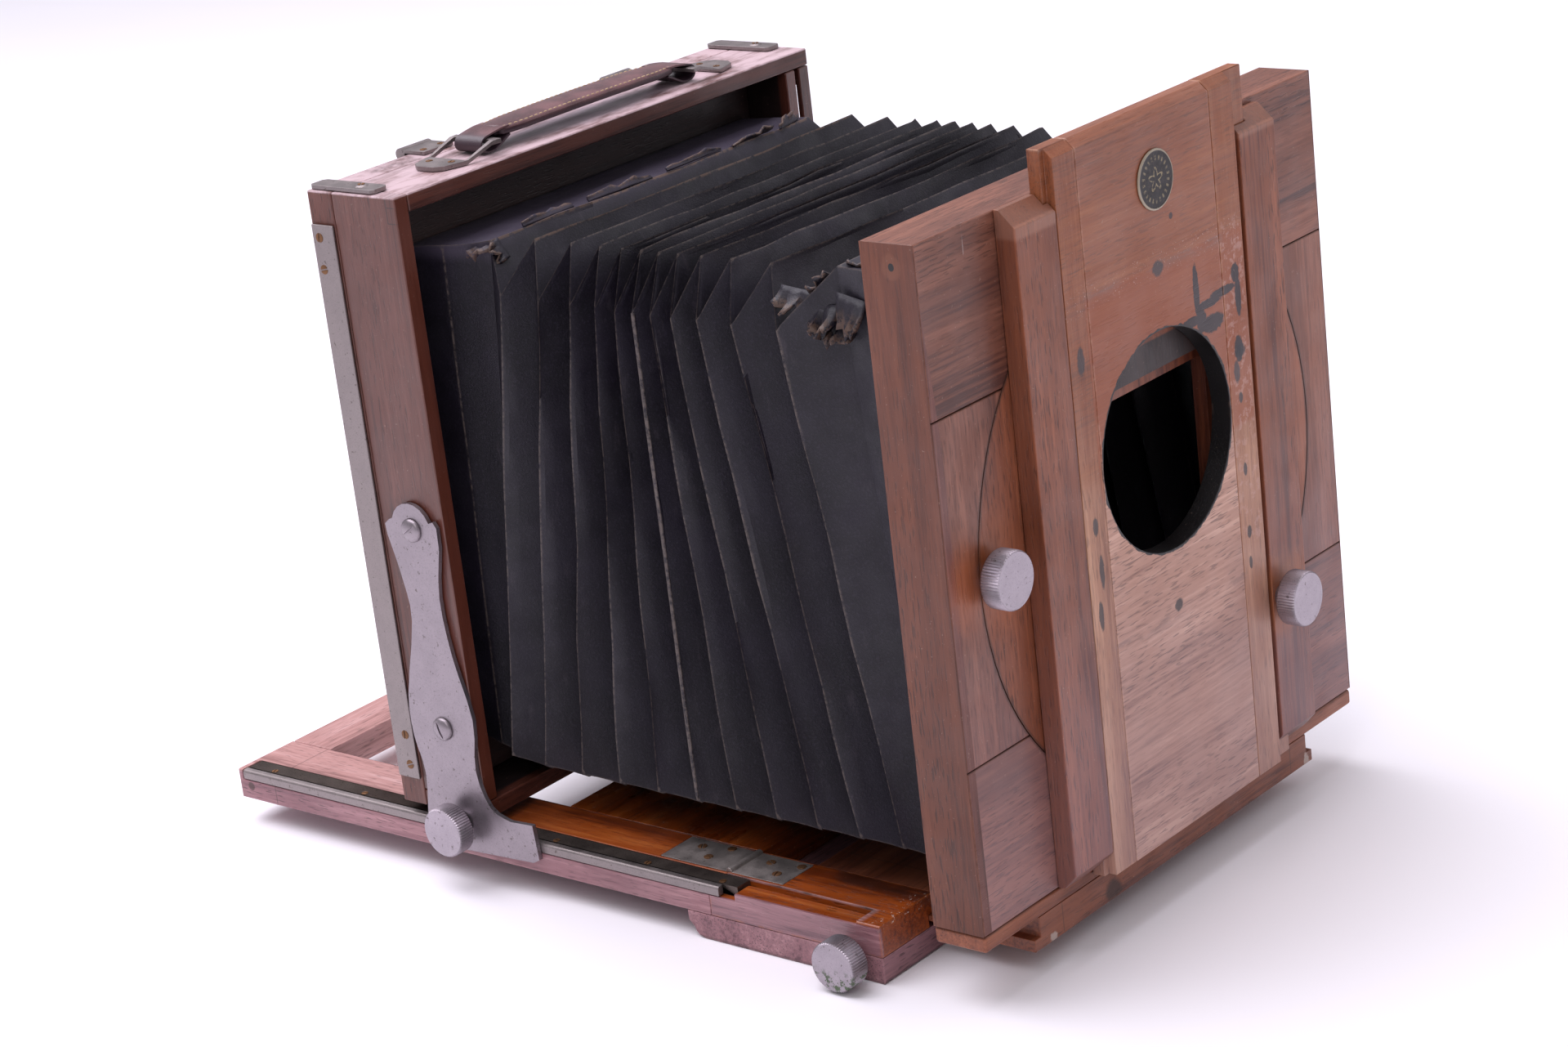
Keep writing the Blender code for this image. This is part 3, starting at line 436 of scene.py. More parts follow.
def build_front():
    for k, node in enumerate(("front_board_top", "front_board_bottom")):
        dress(node, wood(node, "X", "frame", 1.3 + k, 0.45, extra=front_extra, edges=node))
    for k, (side, _) in enumerate(SIDES):
        node = "front_stile_" + side
        dress(node, wood(node, "Z", "frame", 4.3 + k, 0.4, extra=front_extra))
        node = "front_rail_" + side
        dress(node, wood(node, "Z", "rail", 9.4 + k, 0.6, extra=rail_extra, edges=node))
        node = "panel_stile_" + side
        dress(node, wood(node, "Z", "stile", 12.6 + k, 0.6, extra=panel_extra, edges=node))
    veneer = wood("veneer_wood", "Z", "lip", 3.1, 0.6, extra=lipping)
    for side, x in (("left", -125.36), ("right", 125.03)):
        bm = bmesh.new()
        box_into(bm, at(x, 0.2, 30.2), at(x + 0.33, 22.4, 284.1))
        add_mesh("veneer_" + side, bm, veneer, "front_standard")
    ledge = wood("ledge_wood", "X", "rail", 6.1, 0.7, extra=ledge_extra, edges="bottom_ledge")
    dress("bottom_ledge", ledge)
    dress("turntable_disc", wood("disc_wood", "Z", "rail", 8.2, 0.6, extra=disc_extra), 0.2)
    board = wood("panel_wood", "X", "pale", 11.2, 0.55, extra=panel_extra, edges="panel_board")
    dress("panel_board", board)
    dress("bellows_front_frame", wood("bellows_frame_wood", "X", "dark", 14.0, rough=(0.5, 0.7)))
    node = "extension_board"
    dress(node, wood("extension_wood", "X", "rail", 15.3, 0.6, edges=node, extra=extension_extra))


def extension_extra(g):
    g.tint(g.spot((-45, 5, 14), (5, 12, 5), 0.3, 0.3), srgb(54, 30, 22), 0.9)
    g.tint(g.spot((-84, 0, 12), (2.2, 4, 2), 0.2, 0.6), srgb(176, 160, 150), 0.8)
    g.tint(g.spot((91, 0, 12), (2.0, 4, 3.4), 0.2, 0.7), srgb(180, 164, 154), 0.8)
    g.tint(g.span("X", -77.5, -77, 0.15), srgb(60, 36, 26), 0.6)
    g.tint(g.span("X", 79, 79.5, 0.15), srgb(60, 36, 26), 0.6)


# ---- base ----


def bed_extra(g):
    seat = g.times(g.span("X", -123.4, -112.5, 0.4), g.span("Y", 58, 131, 1.5))
    seat = g.times(seat, g.span("Z", 22.6, 24, 0.2))
    bare, _, _ = timber(g, "Y", "pink", 21.0, 0.5)
    grime = g.level(g.noise(g.mapped((0, 0, 0), (1, 0.3, 1)), 220, 4, 0.7), 0.42, 0.62)
    g.color = g.mix(seat, g.color, bare)
    g.tint(g.times(seat, grime), srgb(74, 60, 56), 0.75)
    side = g.times(g.span("Z", 9, 22.4, 0.4), g.span("X", -126, -123, 0.3))
    low, _, _ = timber(g, "Y", "base", 22.0, 0.6)
    g.color = g.mix(side, g.color, low)
    # painted shade, mottled, on the inner parts of the rails under the bellows
    painted_bellows_shade = g.times(g.span("X", -100, 100, 3), g.level(g.noise(g.where, 34, 3), 0.42, 0.62))
    g.tint(painted_bellows_shade, srgb(38, 18, 12), 0.7)
    grit = g.level(g.noise(g.where, 620, 3, 0.7), 0.6, 0.68)
    corner = g.spot((-104, 50, 23), (22, 5, 3), 0.4, 0.5)
    g.tint(g.times(grit, corner), srgb(214, 200, 190), 0.9)


def tail_extra(g):
    top = g.times(g.span("Z", 22.8, 24, 0.2), g.span("Y", 290, 400, 8))
    pink, _, _ = timber(g, "Y", "pink", 24.0, 0.5)
    g.color = g.mix(top, g.color, pink)
    varnish = g.times(g.span("Z", 22.8, 24, 0.2), g.span("Y", 120, 258, 8))
    orange, _, _ = timber(g, "Y", "bed", 25.0, 0.5)
    g.color = g.mix(varnish, g.color, orange)
    g.tint(g.span("Y", 371.6, 372.1, 0.2), srgb(52, 32, 28), 0.6)
    g.tint(g.spot((-124, 386.9, 16.5), (1.8, 1.8, 1.8), 0.15, 0.15), srgb(62, 38, 34), 0.8)


def tail_front_extra(g):
    shade = g.times(g.level(g.noise(g.where, 26, 3), 0.42, 0.6), g.span("X", -80, 90, 14))
    g.tint(shade, srgb(34, 16, 12), 0.8)
    dust = g.level(g.noise(g.where, 800, 3, 0.7), 0.66, 0.72)
    g.tint(dust, srgb(210, 196, 186), 0.6)


def board_extra(g):
    g.tint(g.span("Z", -1, 1.0, 0.4), srgb(46, 28, 26), 0.5)


def build_base():
    lower = wood("lower_wood", "X", "base", 20.1, 0.7, extra=board_extra, edges="lower_board")
    dress("lower_board", lower)
    for k, (side, _) in enumerate(SIDES):
        rail = "bed_rail_" + side
        dress(rail, wood(rail, "Y", "bed", 23.0 + k, 0.5, (0.25, 0.5), 0.4, rail, bed_extra), 0.5)
        rail = "tail_rail_" + side
        dress(rail, wood(rail, "Y", "base", 26.0 + k, 0.75, edges=rail, extra=tail_extra), 0.5)
    front_wood = wood("tail_front_wood", "X", "bed", 28.0, 0.5, (0.2, 0.45), 0.5, extra=tail_front_extra)
    dress("tail_front_board", front_wood)
    dress("tail_rear_board", wood("tail_rear_wood", "X", "pink", 29.4, 0.6, edges="tail_rear_board"), 0.5)


# ---- rear standard ----


def box_extra(g):
    """Black paint inside the box, finger joints at its front corners."""
    y = g.axes["Y"]
    deep = g.level(y, (249.5 - Y_MID) / 1000, (251.5 - Y_MID) / 1000)
    inside = g.times(g.span("X", -117.2, 117.2, 0.2), g.span("Z", 34.3, 275.8, 0.2))
    g.tint(g.times(inside, deep), srgb(24, 20, 22), 0.92)
    left_face = g.span("X", -126, -123, 0.3)
    for z in (272.4, 278.6):
        line = g.times(g.span("Z", z - 0.2, z + 0.2, 0.15), g.span("Y", 244, 251, 0.3), left_face)
        g.tint(line, srgb(44, 24, 18), 0.85)
    end = g.times(g.span("Y", 250.6, 251.1, 0.15), g.span("Z", 272.4, 284, 0.2), left_face)
    g.tint(end, srgb(44, 24, 18), 0.8)
    # pale lilac top face: partly worn pale wood, partly painted sheen from the top light
    worn = g.level(g.noise(g.mapped((0, 0, 0), (0.3, 1, 1)), 130, 4, 0.7), 0.22, 0.62)
    top = g.times(g.span("Z", 281.9, 283, 0.2), worn)
    g.tint(top, srgb(222, 196, 202), 0.75)
    # a grey-lilac patch on the top under the handle
    tinted_patch = g.spot((0, 264, 282.5), (52, 9, 3), 0.5, 0.3)
    g.tint(g.times(tinted_patch, g.span("Z", 281.9, 283, 0.2)), srgb(150, 140, 158), 0.5)
    # painted shade on the left wall's front edge
    g.tint(g.times(g.span("Y", 245, 247, 0.4), g.span("X", -126, -116.5, 0.3)), srgb(96, 46, 30), 0.5)


def back_extra(g):
    # pale lilac top face: partly worn pale wood, partly painted sheen from the top light
    top = g.times(g.span("Z", 281.9, 283, 0.2), g.level(g.noise(g.where, 90, 4, 0.7), 0.22, 0.62))
    g.tint(top, srgb(222, 196, 202), 0.7)
    g.tint(g.times(g.span("X", -98.5, 98.5, 0.3), g.span("Z", 56.5, 253.5, 0.3)), srgb(30, 22, 22), 0.8)


def rear_frame_extra(g):
    g.tint(g.span("Z", 0, 300), SOOT, 0.85)


def build_rear():
    for k, node in enumerate(("rear_top", "rear_bottom")):
        dress(node, wood(node, "X", "box", 31.0 + k, 0.6, extra=box_extra, edges=node))
    for k, node in enumerate(("rear_left", "rear_right", "rear_right_slat")):
        dress(node, wood(node, "Z", "box", 33.0 + k, 0.6, (0.28, 0.5), 0.3, node, box_extra))
    dress("bellows_rear_frame", wood("rear_frame_wood", "X", "dark", 37.0, extra=rear_frame_extra))
    dress("back_frame", wood("back_wood", "Z", "box", 38.0, 0.6, edges="back_frame", extra=back_extra))
    dress("screen_frame", wood("screen_wood", "Z", "frame", 39.0, 0.6, edges="screen_frame"))


def build_metal():
    nickel = metal("worn_nickel", (160, 150, 156), (0.3, 0.52), 1.0, 0.35)
    strip = metal("strip_nickel", (150, 140, 139), (0.34, 0.55), 2.0, 0.35)
    steel = metal("dull_steel", (113, 103, 98), (0.42, 0.62), 3.0, 0.5)
    plate = metal("hinge_plate", (186, 176, 172), (0.36, 0.6), 4.0, 0.45)
    for kind, material, bevel in (
        ("bracket_", nickel, 0.25),
        ("edge_strip_", strip, 0.35),
        ("guide_strip_", strip, 0.3),
        ("handle_plate_", strip, 0.25),
        ("catch_", strip, 0.25),
        ("screen_hinge_", strip, 0),
        ("hinge_", plate, 0.15),
        ("extension_rack_", steel, 0),
    ):
        for side, _ in SIDES:
            dress(kind + side, material, bevel)
    for node in ("extension_pinion", "pinion_shaft"):
        dress(node, steel, 0)
    dress("tripod_bush", metal("dull_brass", (150, 116, 62), (0.35, 0.5), 5.0, 0.4), 0)
    return steel


def build_glass():
    g = Graph("ground_glass")
    g.color = g.mix(g.noise(g.where, 800, 3), srgb(196, 204, 202), srgb(222, 228, 226))
    g.shader.inputs["Transmission Weight"].default_value = 0.6
    g.shader.inputs["IOR"].default_value = 1.5
    material = g.finish((0.55, 0.7, g.noise(g.where, 60, 2)), g.noise(g.where, 2600, 2), 0.00004, 0.6)
    dress("ground_glass", material, 0)


def badge_material():
    """Black enamel with a pale rim, a ring of dots and a plain star-like figure."""
    g = Graph("badge_enamel")
    low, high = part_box("badge")
    centre = (low + high) / 2
    x = g.math("SUBTRACT", g.axes["X"], centre.x)
    z = g.math("SUBTRACT", g.axes["Z"], centre.z)
    reach = g.math("SQRT", g.math("ADD", g.times(x, x), g.times(z, z)))
    angle = g.math("ARCTAN2", z, x)
    g.color = g.mix(g.level(g.noise(g.where, 700, 3, 0.7), 0.5, 0.7), srgb(34, 30, 30), srgb(62, 54, 50))
    gold = srgb(150, 136, 104)

    def hoop(radius, width):
        return g.times(
            g.level(reach, radius - width, radius - width * 0.4),
            g.level(reach, radius + width * 0.4, radius + width, 1.0, 0.0),
        )

    petals = g.math("SINE", g.times(angle, 5.0))
    figure = g.level(g.math("SUBTRACT", reach, g.times(petals, 0.0012)), 0.0034, 0.0036, 1.0, 0.0)
    hollow = g.level(g.math("SUBTRACT", reach, g.times(petals, 0.0012)), 0.0024, 0.0026)
    dots = g.level(g.math("SINE", g.times(angle, 22.0)), 0.2, 0.5)
    worn = g.level(g.noise(g.where, 900, 3, 0.7), 0.35, 0.55)
    g.tint(g.times(figure, hollow, worn), gold, 0.9)
    g.tint(g.times(hoop(0.0078, 0.0011), dots, worn), gold, 0.65)
    g.tint(hoop(0.0109, 0.0007), srgb(168, 156, 136), 0.9)
    cloud = g.noise(g.where, 300, 3)
    return g.finish((0.25, 0.5, cloud), g.noise(g.where, 900, 3), 0.00006, 0.5, Metallic=0.3)


# Mesh helpers


def add_mesh(name, bm, material, body=None, smooth_angle=32):
    bmesh.ops.recalc_face_normals(bm, faces=bm.faces[:])
    mesh = bpy.data.meshes.new(name)
    bm.to_mesh(mesh)
    bm.free()
    obj = bpy.data.objects.new(name, mesh)
    bpy.context.scene.collection.objects.link(obj)
    mesh.materials.append(material)
    mesh.shade_smooth()
    mesh.set_sharp_from_angle(angle=math.radians(smooth_angle))
    if body:
        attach(obj, body)
    return obj


def frame_matrix(point, normal, turn=0.0):
    """Placement with local Z along the normal."""
    rotation = Vector(normal).to_track_quat("Z", "Y").to_matrix().to_4x4()
    return Matrix.Translation(point) @ rotation @ Matrix.Rotation(turn, 4, "Z")


def lathe(bm, profile, matrix, steps, teeth=0.0, rim=()):
    """Turn (radius, height) in mm about local Z. Rows listed in rim are cut into fine teeth."""
    rings = []
    for row, (radius, height) in enumerate(profile):
        if radius == 0:
            rings.append([bm.verts.new(matrix @ Vector((0, 0, height / 1000)))])
            continue
        ring = []
        for i in range(steps):
            r = radius - (teeth if row in rim and i % 2 else 0.0)
            a = 2 * math.pi * i / steps
            spot = Vector((r * math.cos(a), r * math.sin(a), height)) / 1000
            ring.append(bm.verts.new(matrix @ spot))
        rings.append(ring)
    for low, high in zip(rings, rings[1:]):
        for i in range(steps):
            j = (i + 1) % steps
            if len(low) == 1:
                bm.faces.new((low[0], high[i], high[j]))
            elif len(high) == 1:
                bm.faces.new((low[i], low[j], high[0]))
            else:
                bm.faces.new((low[i], low[j], high[j], high[i]))


def box_into(bm, low, high, matrix=Matrix.Identity(4)):
    """Add a closed box, corners in metres."""
    corners = [
        bm.verts.new(matrix @ Vector((x, y, z)))
        for x in (low[0], high[0])
        for y in (low[1], high[1])
        for z in (low[2], high[2])
    ]
    for face in ((0, 1, 3, 2), (4, 6, 7, 5), (0, 4, 5, 1), (2, 3, 7, 6), (0, 2, 6, 4), (1, 5, 7, 3)):
        bm.faces.new([corners[i] for i in face])


def screw_template(name, radius, crown, slot):
    """A slotted screw head as a mesh: crown is its height in mm above its rim."""
    bm = bmesh.new()
    steps = 6
    profile = [(0, -0.8), (radius * 0.7, -0.8), (radius, 0.0)]
    for k in range(1, steps):
        a = math.pi / 2 * k / steps
        profile.append((radius * math.cos(a), 0.12 + crown * math.sin(a)))
    profile.append((0, 0.12 + crown))
    lathe(bm, profile, Matrix.Identity(4), 28)
    head = add_mesh(name, bm, bpy.data.materials["worn_nickel"])
    cut = bmesh.new()
    depth = min(0.7, crown + 0.45)
    box_into(
        cut,
        (-radius * 1.2 / 1000, -slot / 2000, (0.12 + crown - depth) / 1000),
        (radius * 1.2 / 1000, slot / 2000, 0.004),
    )
    cutter = add_mesh(name + "_cut", cut, bpy.data.materials["worn_nickel"])
    boolean = head.modifiers.new("slot", "BOOLEAN")
    boolean.operation = "DIFFERENCE"
    boolean.solver = "EXACT"
    boolean.object = cutter
    graph = bpy.context.evaluated_depsgraph_get()
    mesh = bpy.data.meshes.new_from_object(head.evaluated_get(graph))
    bpy.data.objects.remove(head)
    bpy.data.objects.remove(cutter)
    return mesh


def cluster(name, body, template, places, material):
    """One piece holding a copy of the template at each (point, normal, turn)."""
    bm = bmesh.new()
    for point, normal, turn in places:
        start = len(bm.verts)
        bm.from_mesh(template)
        bm.verts.ensure_lookup_table()
        matrix = frame_matrix(point, normal, math.radians(turn))
        for vert in bm.verts[start:]:
            vert.co = matrix @ vert.co
    obj = add_mesh(name, bm, material, body)
    return obj


# Knobs, screws, racks

# radius and height in mm: radii up to 0 count from the rim, and heights after the ninth row from the face
SIDE_KNOB = [
    (0, 0.0), (4.2, 0.0), (4.6, 0.8), (4.6, 2.6), (3.6, 3.2), (3.6, 3.9), (-1.2, 3.9), (-0.4, 4.5),
    (0.0, 5.0), (0.0, -0.7), (-0.25, -0.3), (-0.6, -0.05), (-1.2, 0.0), (-1.8, -0.12), (-2.4, -0.1),
    (0, -0.1),
]
FACE_ROWS = 9
TOOTHED_ROWS = (7, 8, 9, 10)


def knurled(name, body, node, axis, radius, material, collar=None):
    """A knurled head that fills a CAD knob's box, on a stem when its collar's depth is given."""
    low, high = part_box(node)
    k = "XYZ".index(axis)
    centre = (low + high) / 2
    outward = 1 if axis == "X" and centre.x > 0 else -1
    start = low[k] if outward > 0 else high[k]
    depth = (high[k] - low[k]) * 1000
    offset = 0.0
    if collar is not None:
        offset = depth - collar
    rows = []
    for index, (r, h) in enumerate(SIDE_KNOB):
        r_out = r if r > 0 or index in (0, len(SIDE_KNOB) - 1) else radius + r
        h_out = h + offset if index < FACE_ROWS else depth + h
        rows.append((r_out, h_out))
    if collar is not None:
        rows[0] = (0, 0.2)
        rows.insert(1, (2.0, 0.2))
        rows.insert(2, (2.0, offset))
    shift = len(rows) - len(SIDE_KNOB)
    normal = Vector((0, 0, 0))
    normal[k] = outward
    point = centre.copy()
    point[k] = start
    bm = bmesh.new()
    rim = tuple(row + shift for row in TOOTHED_ROWS)
    lathe(bm, rows, frame_matrix(point, normal), 120, 0.4, rim)
    obj = add_mesh(name, bm, material, body, 28)
    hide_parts(node)
    return obj


def build_knobs():
    face = metal("knob_nickel", (178, 168, 176), (0.32, 0.52), 6.0, 0.3, verdigris)
    collar = 12.4
    knurled("left_focus_knurl", "rear_pinion", "focus_knob_left", "X", 10.3, face)
    knurled("right_focus_knurl", "rear_pinion", "focus_knob_right", "X", 10.3, face)
    knurled("extension_knurl", "front_pinion", "extension_knob", "X", 10.0, face)
    knurled("turntable_knurl", "turntable_clamp", "turntable_thumbscrew", "Y", 10.8, face, collar)
    knurled("panel_knurl", "panel_clamp", "panel_thumbscrew", "Y", 10.8, face, collar)


# two coordinates in mm and the turn of the slot in degrees
STRIP_SCREWS = ((288.5, 264.5, 80), (288.6, 251.8, 12), (284.9, 58.5, 86), (284.7, 45.6, 20))
HINGE_SCREWS = (
    (98, 156, 30), (104.5, 147.5, 80), (95, 143.5, 140),
    (98, 121.5, 60), (105, 113, 10), (96, 108, 100),
)


def build_screws():
    small = screw_template("small_screw", 1.9, 0.25, 0.55)
    tiny = screw_template("tiny_screw", 1.45, 0.15, 0.45)
    domed = screw_template("domed_screw", 4.9, 1.9, 1.0)
    rust = metal("rusty_screw", (134, 98, 70), (0.45, 0.7), 7.0, 0.6)
    nickel = bpy.data.materials["worn_nickel"]
    for side, sign in SIDES:
        strip = [
            (at(sign * 125.2, y, z), (sign, 0, 0), turn)
            for y, z, turn in STRIP_SCREWS
        ]
        cluster("strip_screws_" + side, "rear_standard", small, strip, rust)
        rack = [
            (at(sign * 119.0, y, 23.45), (0, 0, 1), turn)
            for y, turn in ((376, 20), (322, 130), (214, 70), (166, 10), (128, 110))
        ]
        cluster("rack_screws_" + side, "base", tiny, rack, rust)
        leaves = [
            (at(sign * x, y, 23.55), (0, 0, 1), turn)
            for x, y, turn in HINGE_SCREWS
        ]
        cluster("hinge_screws_" + side, "base", small, leaves, rust)
        fork = [
            (at(HANDLE_X + sign * x, HANDLE_Y + dy, PLATE_TOP), (0, 0, 1), turn)
            for x, dy, turn in ((79.5, -5.4, 20), (81.0, 5.2, 75))
        ]
        cluster("fork_screws_" + side, "rear_standard", tiny, fork, rust)
        leaf = [(at(sign * x, 287.6, 284.05), (0, 0, 1), turn) for x, turn in ((55.4, 15), (65.2, 80))]
        cluster("screen_hinge_screws_" + side, "rear_standard", tiny, leaf, rust)
        arms = [
            (at(sign * 126.65, y, z), (sign, 0, 0), turn)
            for y, z, turn in ((261.4, 149.2, 35), (261.0, 65.6, 110))
        ]
        cluster("bracket_screws_" + side, "rear_standard", domed, arms, nickel)
        pivot = [(at(sign * 117.8, 268.7, 285.12), (0, 0, 1), 40)]
        cluster("catch_screw_" + side, "catch_" + side, tiny, pivot, rust)


def fine_rack(side, material):
    """The CAD rack's body with fine teeth across it."""
    low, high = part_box("rack_" + side)
    pitch = 0.00095
    crest = high.z
    valley = crest - 0.0005
    count = int((high.y - low.y - 0.0006) / pitch)
    outline = [(low.y, low.z), (low.y, crest - 0.0002)]
    for i in range(count):
        y = low.y + 0.0003 + i * pitch
        outline.append((y, valley))
        outline.append((y + pitch * 0.5, crest))
    outline.append((high.y, valley))
    outline.append((high.y, low.z))
    bm = bmesh.new()
    ends = []
    for x in (low.x, high.x):
        ends.append([bm.verts.new((x, y, z)) for y, z in outline])
    a, b = ends
    last = len(outline) - 1
    for i in range(last + 1):
        j = (i + 1) % (last + 1)
        bm.faces.new((a[i], a[j], b[j], b[i]))
    for end in ends:
        for i in range(1, last):
            bm.faces.new((end[0], end[i], end[i + 1]))
    obj = add_mesh("fine_rack_" + side, bm, material, "base", 20)
    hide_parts("rack_" + side)


# Bellows

SIDE_OUT, SIDE_IN = 110.0, 96.5
TOP_OUT, TOP_IN = 263.0, 243.0
LOW_OUT, LOW_IN = 41.5, 50.0


def side_station(i):
    u = (i - 5) / 5
    return 145.0 + 42.0 * u + 26.0 * u**3, 144.5 + 99.0 * u


def fold_stations():
    """Each fold as (upper Y, lower Y, half width, top Z, low Z, kind), front to rear.

    Kind 1 ridges at the sides, kind 2 at the top and bottom.
    """
    found = [
        (27.9, 27.9, 106.0, 266.0, 45.0, 0),
        (54.0, 36.0, SIDE_IN + 4, 266.0, LOW_OUT + 1, 2),
    ]
    for i in range(11):
        a = side_station(i)
        found.append((a[0], a[1], SIDE_OUT - (2.0 if i > 9 else 0.0), TOP_IN, LOW_IN, 1))
        if i < 10:
            b = side_station(i + 1)
            found.append(((a[0] + b[0]) / 2, (a[1] + b[1]) / 2, SIDE_IN, TOP_OUT, LOW_OUT, 2))
    found.append((226.0, 247.0, SIDE_IN, 260.5, 44.0, 2))
    found.append((248.0, 256.0, 100.5, 258.0, 50.0, 1))
    found.append((267.9, 267.9, 103.0, 256.0, 54.0, 0))
    return found


def ragged_flap(bm, fray, root, along, out, length, reach, seed):
    """A curled flap of torn cloth with a ragged edge, as one sheet."""
    rng = random.Random(seed)
    columns, rows = 9, 5
    along, out = Vector(along).normalized(), Vector(out).normalized()
    lift = along.cross(out).normalized()
    sheet = []
    for i in range(columns):
        u = i / (columns - 1)
        far = reach * (0.45 + 0.55 * math.sin(math.pi * (0.1 + 0.8 * u))) * rng.uniform(0.55, 1.1)
        curl = rng.uniform(-0.2, 0.6)
        column = []
        for j in range(rows):
            v = j / (rows - 1)
            spot = Vector(root) + along * (u - 0.5) * length + out * far * v
            spot += lift * (curl * far * v * v + rng.uniform(-0.2, 0.2))
            vert = bm.verts.new(at(*spot))
            vert[fray] = 0.1 + 0.75 * v
            column.append(vert)
        sheet.append(column)
    for a, b in zip(sheet, sheet[1:]):
        for j in range(rows - 1):
            bm.faces.new((a[j], b[j], b[j + 1], a[j + 1]))


# torn cloth at the bellows' upper corners: root, edge direction, outward direction, length, reach
FRONT_FLAPS = [
    ((-100, 73, 256), (0, 1, 0.1), (-0.4, 0.2, -1), 15, 10),
    ((-102, 60, 252), (0, 1, 0), (-0.5, 0, -1), 13, 15),
    ((-103, 47, 256), (0, 1, 0.2), (-0.3, 0, -1), 13, 18),
    ((-98, 63, 256.5), (0.1, 1, -1), (-0.8, 0.1, 0.2), 15, 6),
    ((-96, 45, 265.4), (0.2, 1, 0), (-0.9, 0, 0.15), 14, 7),
    ((-101, 52, 245), (0, 1, 0.4), (-0.5, 0.3, -0.8), 10, 12),
]
REAR_FLAPS = [
    ((-93, 223, 256.8), (0, 1, 1.2), (-0.9, 0, -0.3), 9, 9),
    ((-94, 231, 259.6), (0, 1, -0.1), (-0.8, 0.1, -0.7), 13, 11),
    ((-62, 227, 260.5), (1, 0.05, 0), (0, 0.5, 0.6), 30, 3.6),
    ((-20, 227, 260.2), (1, -0.04, 0), (0, 0.5, 0.5), 36, 3.2),
    ((24, 227, 260.2), (1, 0.03, 0), (0, 0.4, 0.6), 34, 3.6),
    ((60, 227, 260.8), (1, 0, 0.05), (0, -0.4, 0.7), 26, 4.2),
    ((84, 226.5, 260.2), (1, 0.2, 0), (0.2, 0.3, 0.7), 16, 5.0),
]


def bellows_piece(name, stations, flaps, node, material):
    """Pleated cloth between folds, with its torn flaps. Loops beside each fold keep its edge crisp."""
    across = [0.0, 0.012, 0.1, 0.2, 0.3, 0.4, 0.5, 0.6, 0.7, 0.8, 0.9, 0.988, 1.0]
    shares = [0.0, 0.09, 0.36, 0.64, 0.91]
    bm = bmesh.new()
    wear = bm.verts.layers.float.new("wear")
    fray = bm.verts.layers.float.new("fray")
    corners = []
    for y_top, y_low, half, z_top, z_low, kind in stations:
        upper, lower = (y_top, z_top), (y_low, z_low)
        corners.append([(-half, *upper), (half, *upper), (half, *lower), (-half, *lower)])
    loops = []
    for s in range(len(stations)):
        for share in shares if s < len(stations) - 1 else [0.0]:
            a = corners[s]
            b = corners[min(s + 1, len(stations) - 1)]
            row = []
            for k in range(4):
                for u in across[:-1]:
                    p = Vector(a[k]).lerp(Vector(a[(k + 1) % 4]), u)
                    q = Vector(b[k]).lerp(Vector(b[(k + 1) % 4]), u)
                    spot = p.lerp(q, share)
                    ridge = 0.0
                    kind = stations[s][5]
                    sides = k in (1, 3)
                    at_corner = u == 0.0
                    if share == 0.0 and ((kind == 1 and sides) or (kind == 2 and not sides) or at_corner):
                        ridge = 1.0
                    if at_corner:
                        ridge = max(ridge, 0.85)
                    middle = 1 - abs(2 * u - 1)
                    pull = 1 - abs(2 * share - 1)
                    seed = Vector((spot.x * 0.02 + s * 1.7, spot.y * 0.03, spot.z * 0.02 + s * 0.9))
                    bend = noise.noise(seed) * 2.2 * min(1.0, middle * 3)
                    if sides:
                        spot.y += bend * 0.9
                        spot.x -= math.copysign(1.0, spot.x) * pull * 0.9
                    else:
                        spot.y += bend * 0.7
                        spot.z += (noise.noise(seed * 1.9) * 1.1 - 0.8 * middle) * (1 if k == 0 else 0.5)
                    if s in (0, len(stations) - 1) and share == 0.0:
                        spot = p
                    vert = bm.verts.new(at(*spot))
                    vert[wear] = ridge
                    top_rear = k == 0 and kind == 2 and spot.y > 190 and share == 0.0
                    vert[fray] = 1.0 if top_rear else 0.0
                    row.append(vert)
            loops.append(row)
    for a, b in zip(loops, loops[1:]):
        for i in range(len(a)):
            j = (i + 1) % len(a)
            bm.faces.new((a[i], a[j], b[j], b[i]))
    for seed, (root, along, out, length, reach) in enumerate(flaps):
        ragged_flap(bm, fray, root, along, out, length, reach, seed + 3)
    obj = add_mesh(name, bm, material, None, 24)
    thick = obj.modifiers.new("thickness", "SOLIDIFY")
    thick.thickness = 0.0009
    thick.offset = -1
    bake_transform(obj)
    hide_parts(node)
    return obj


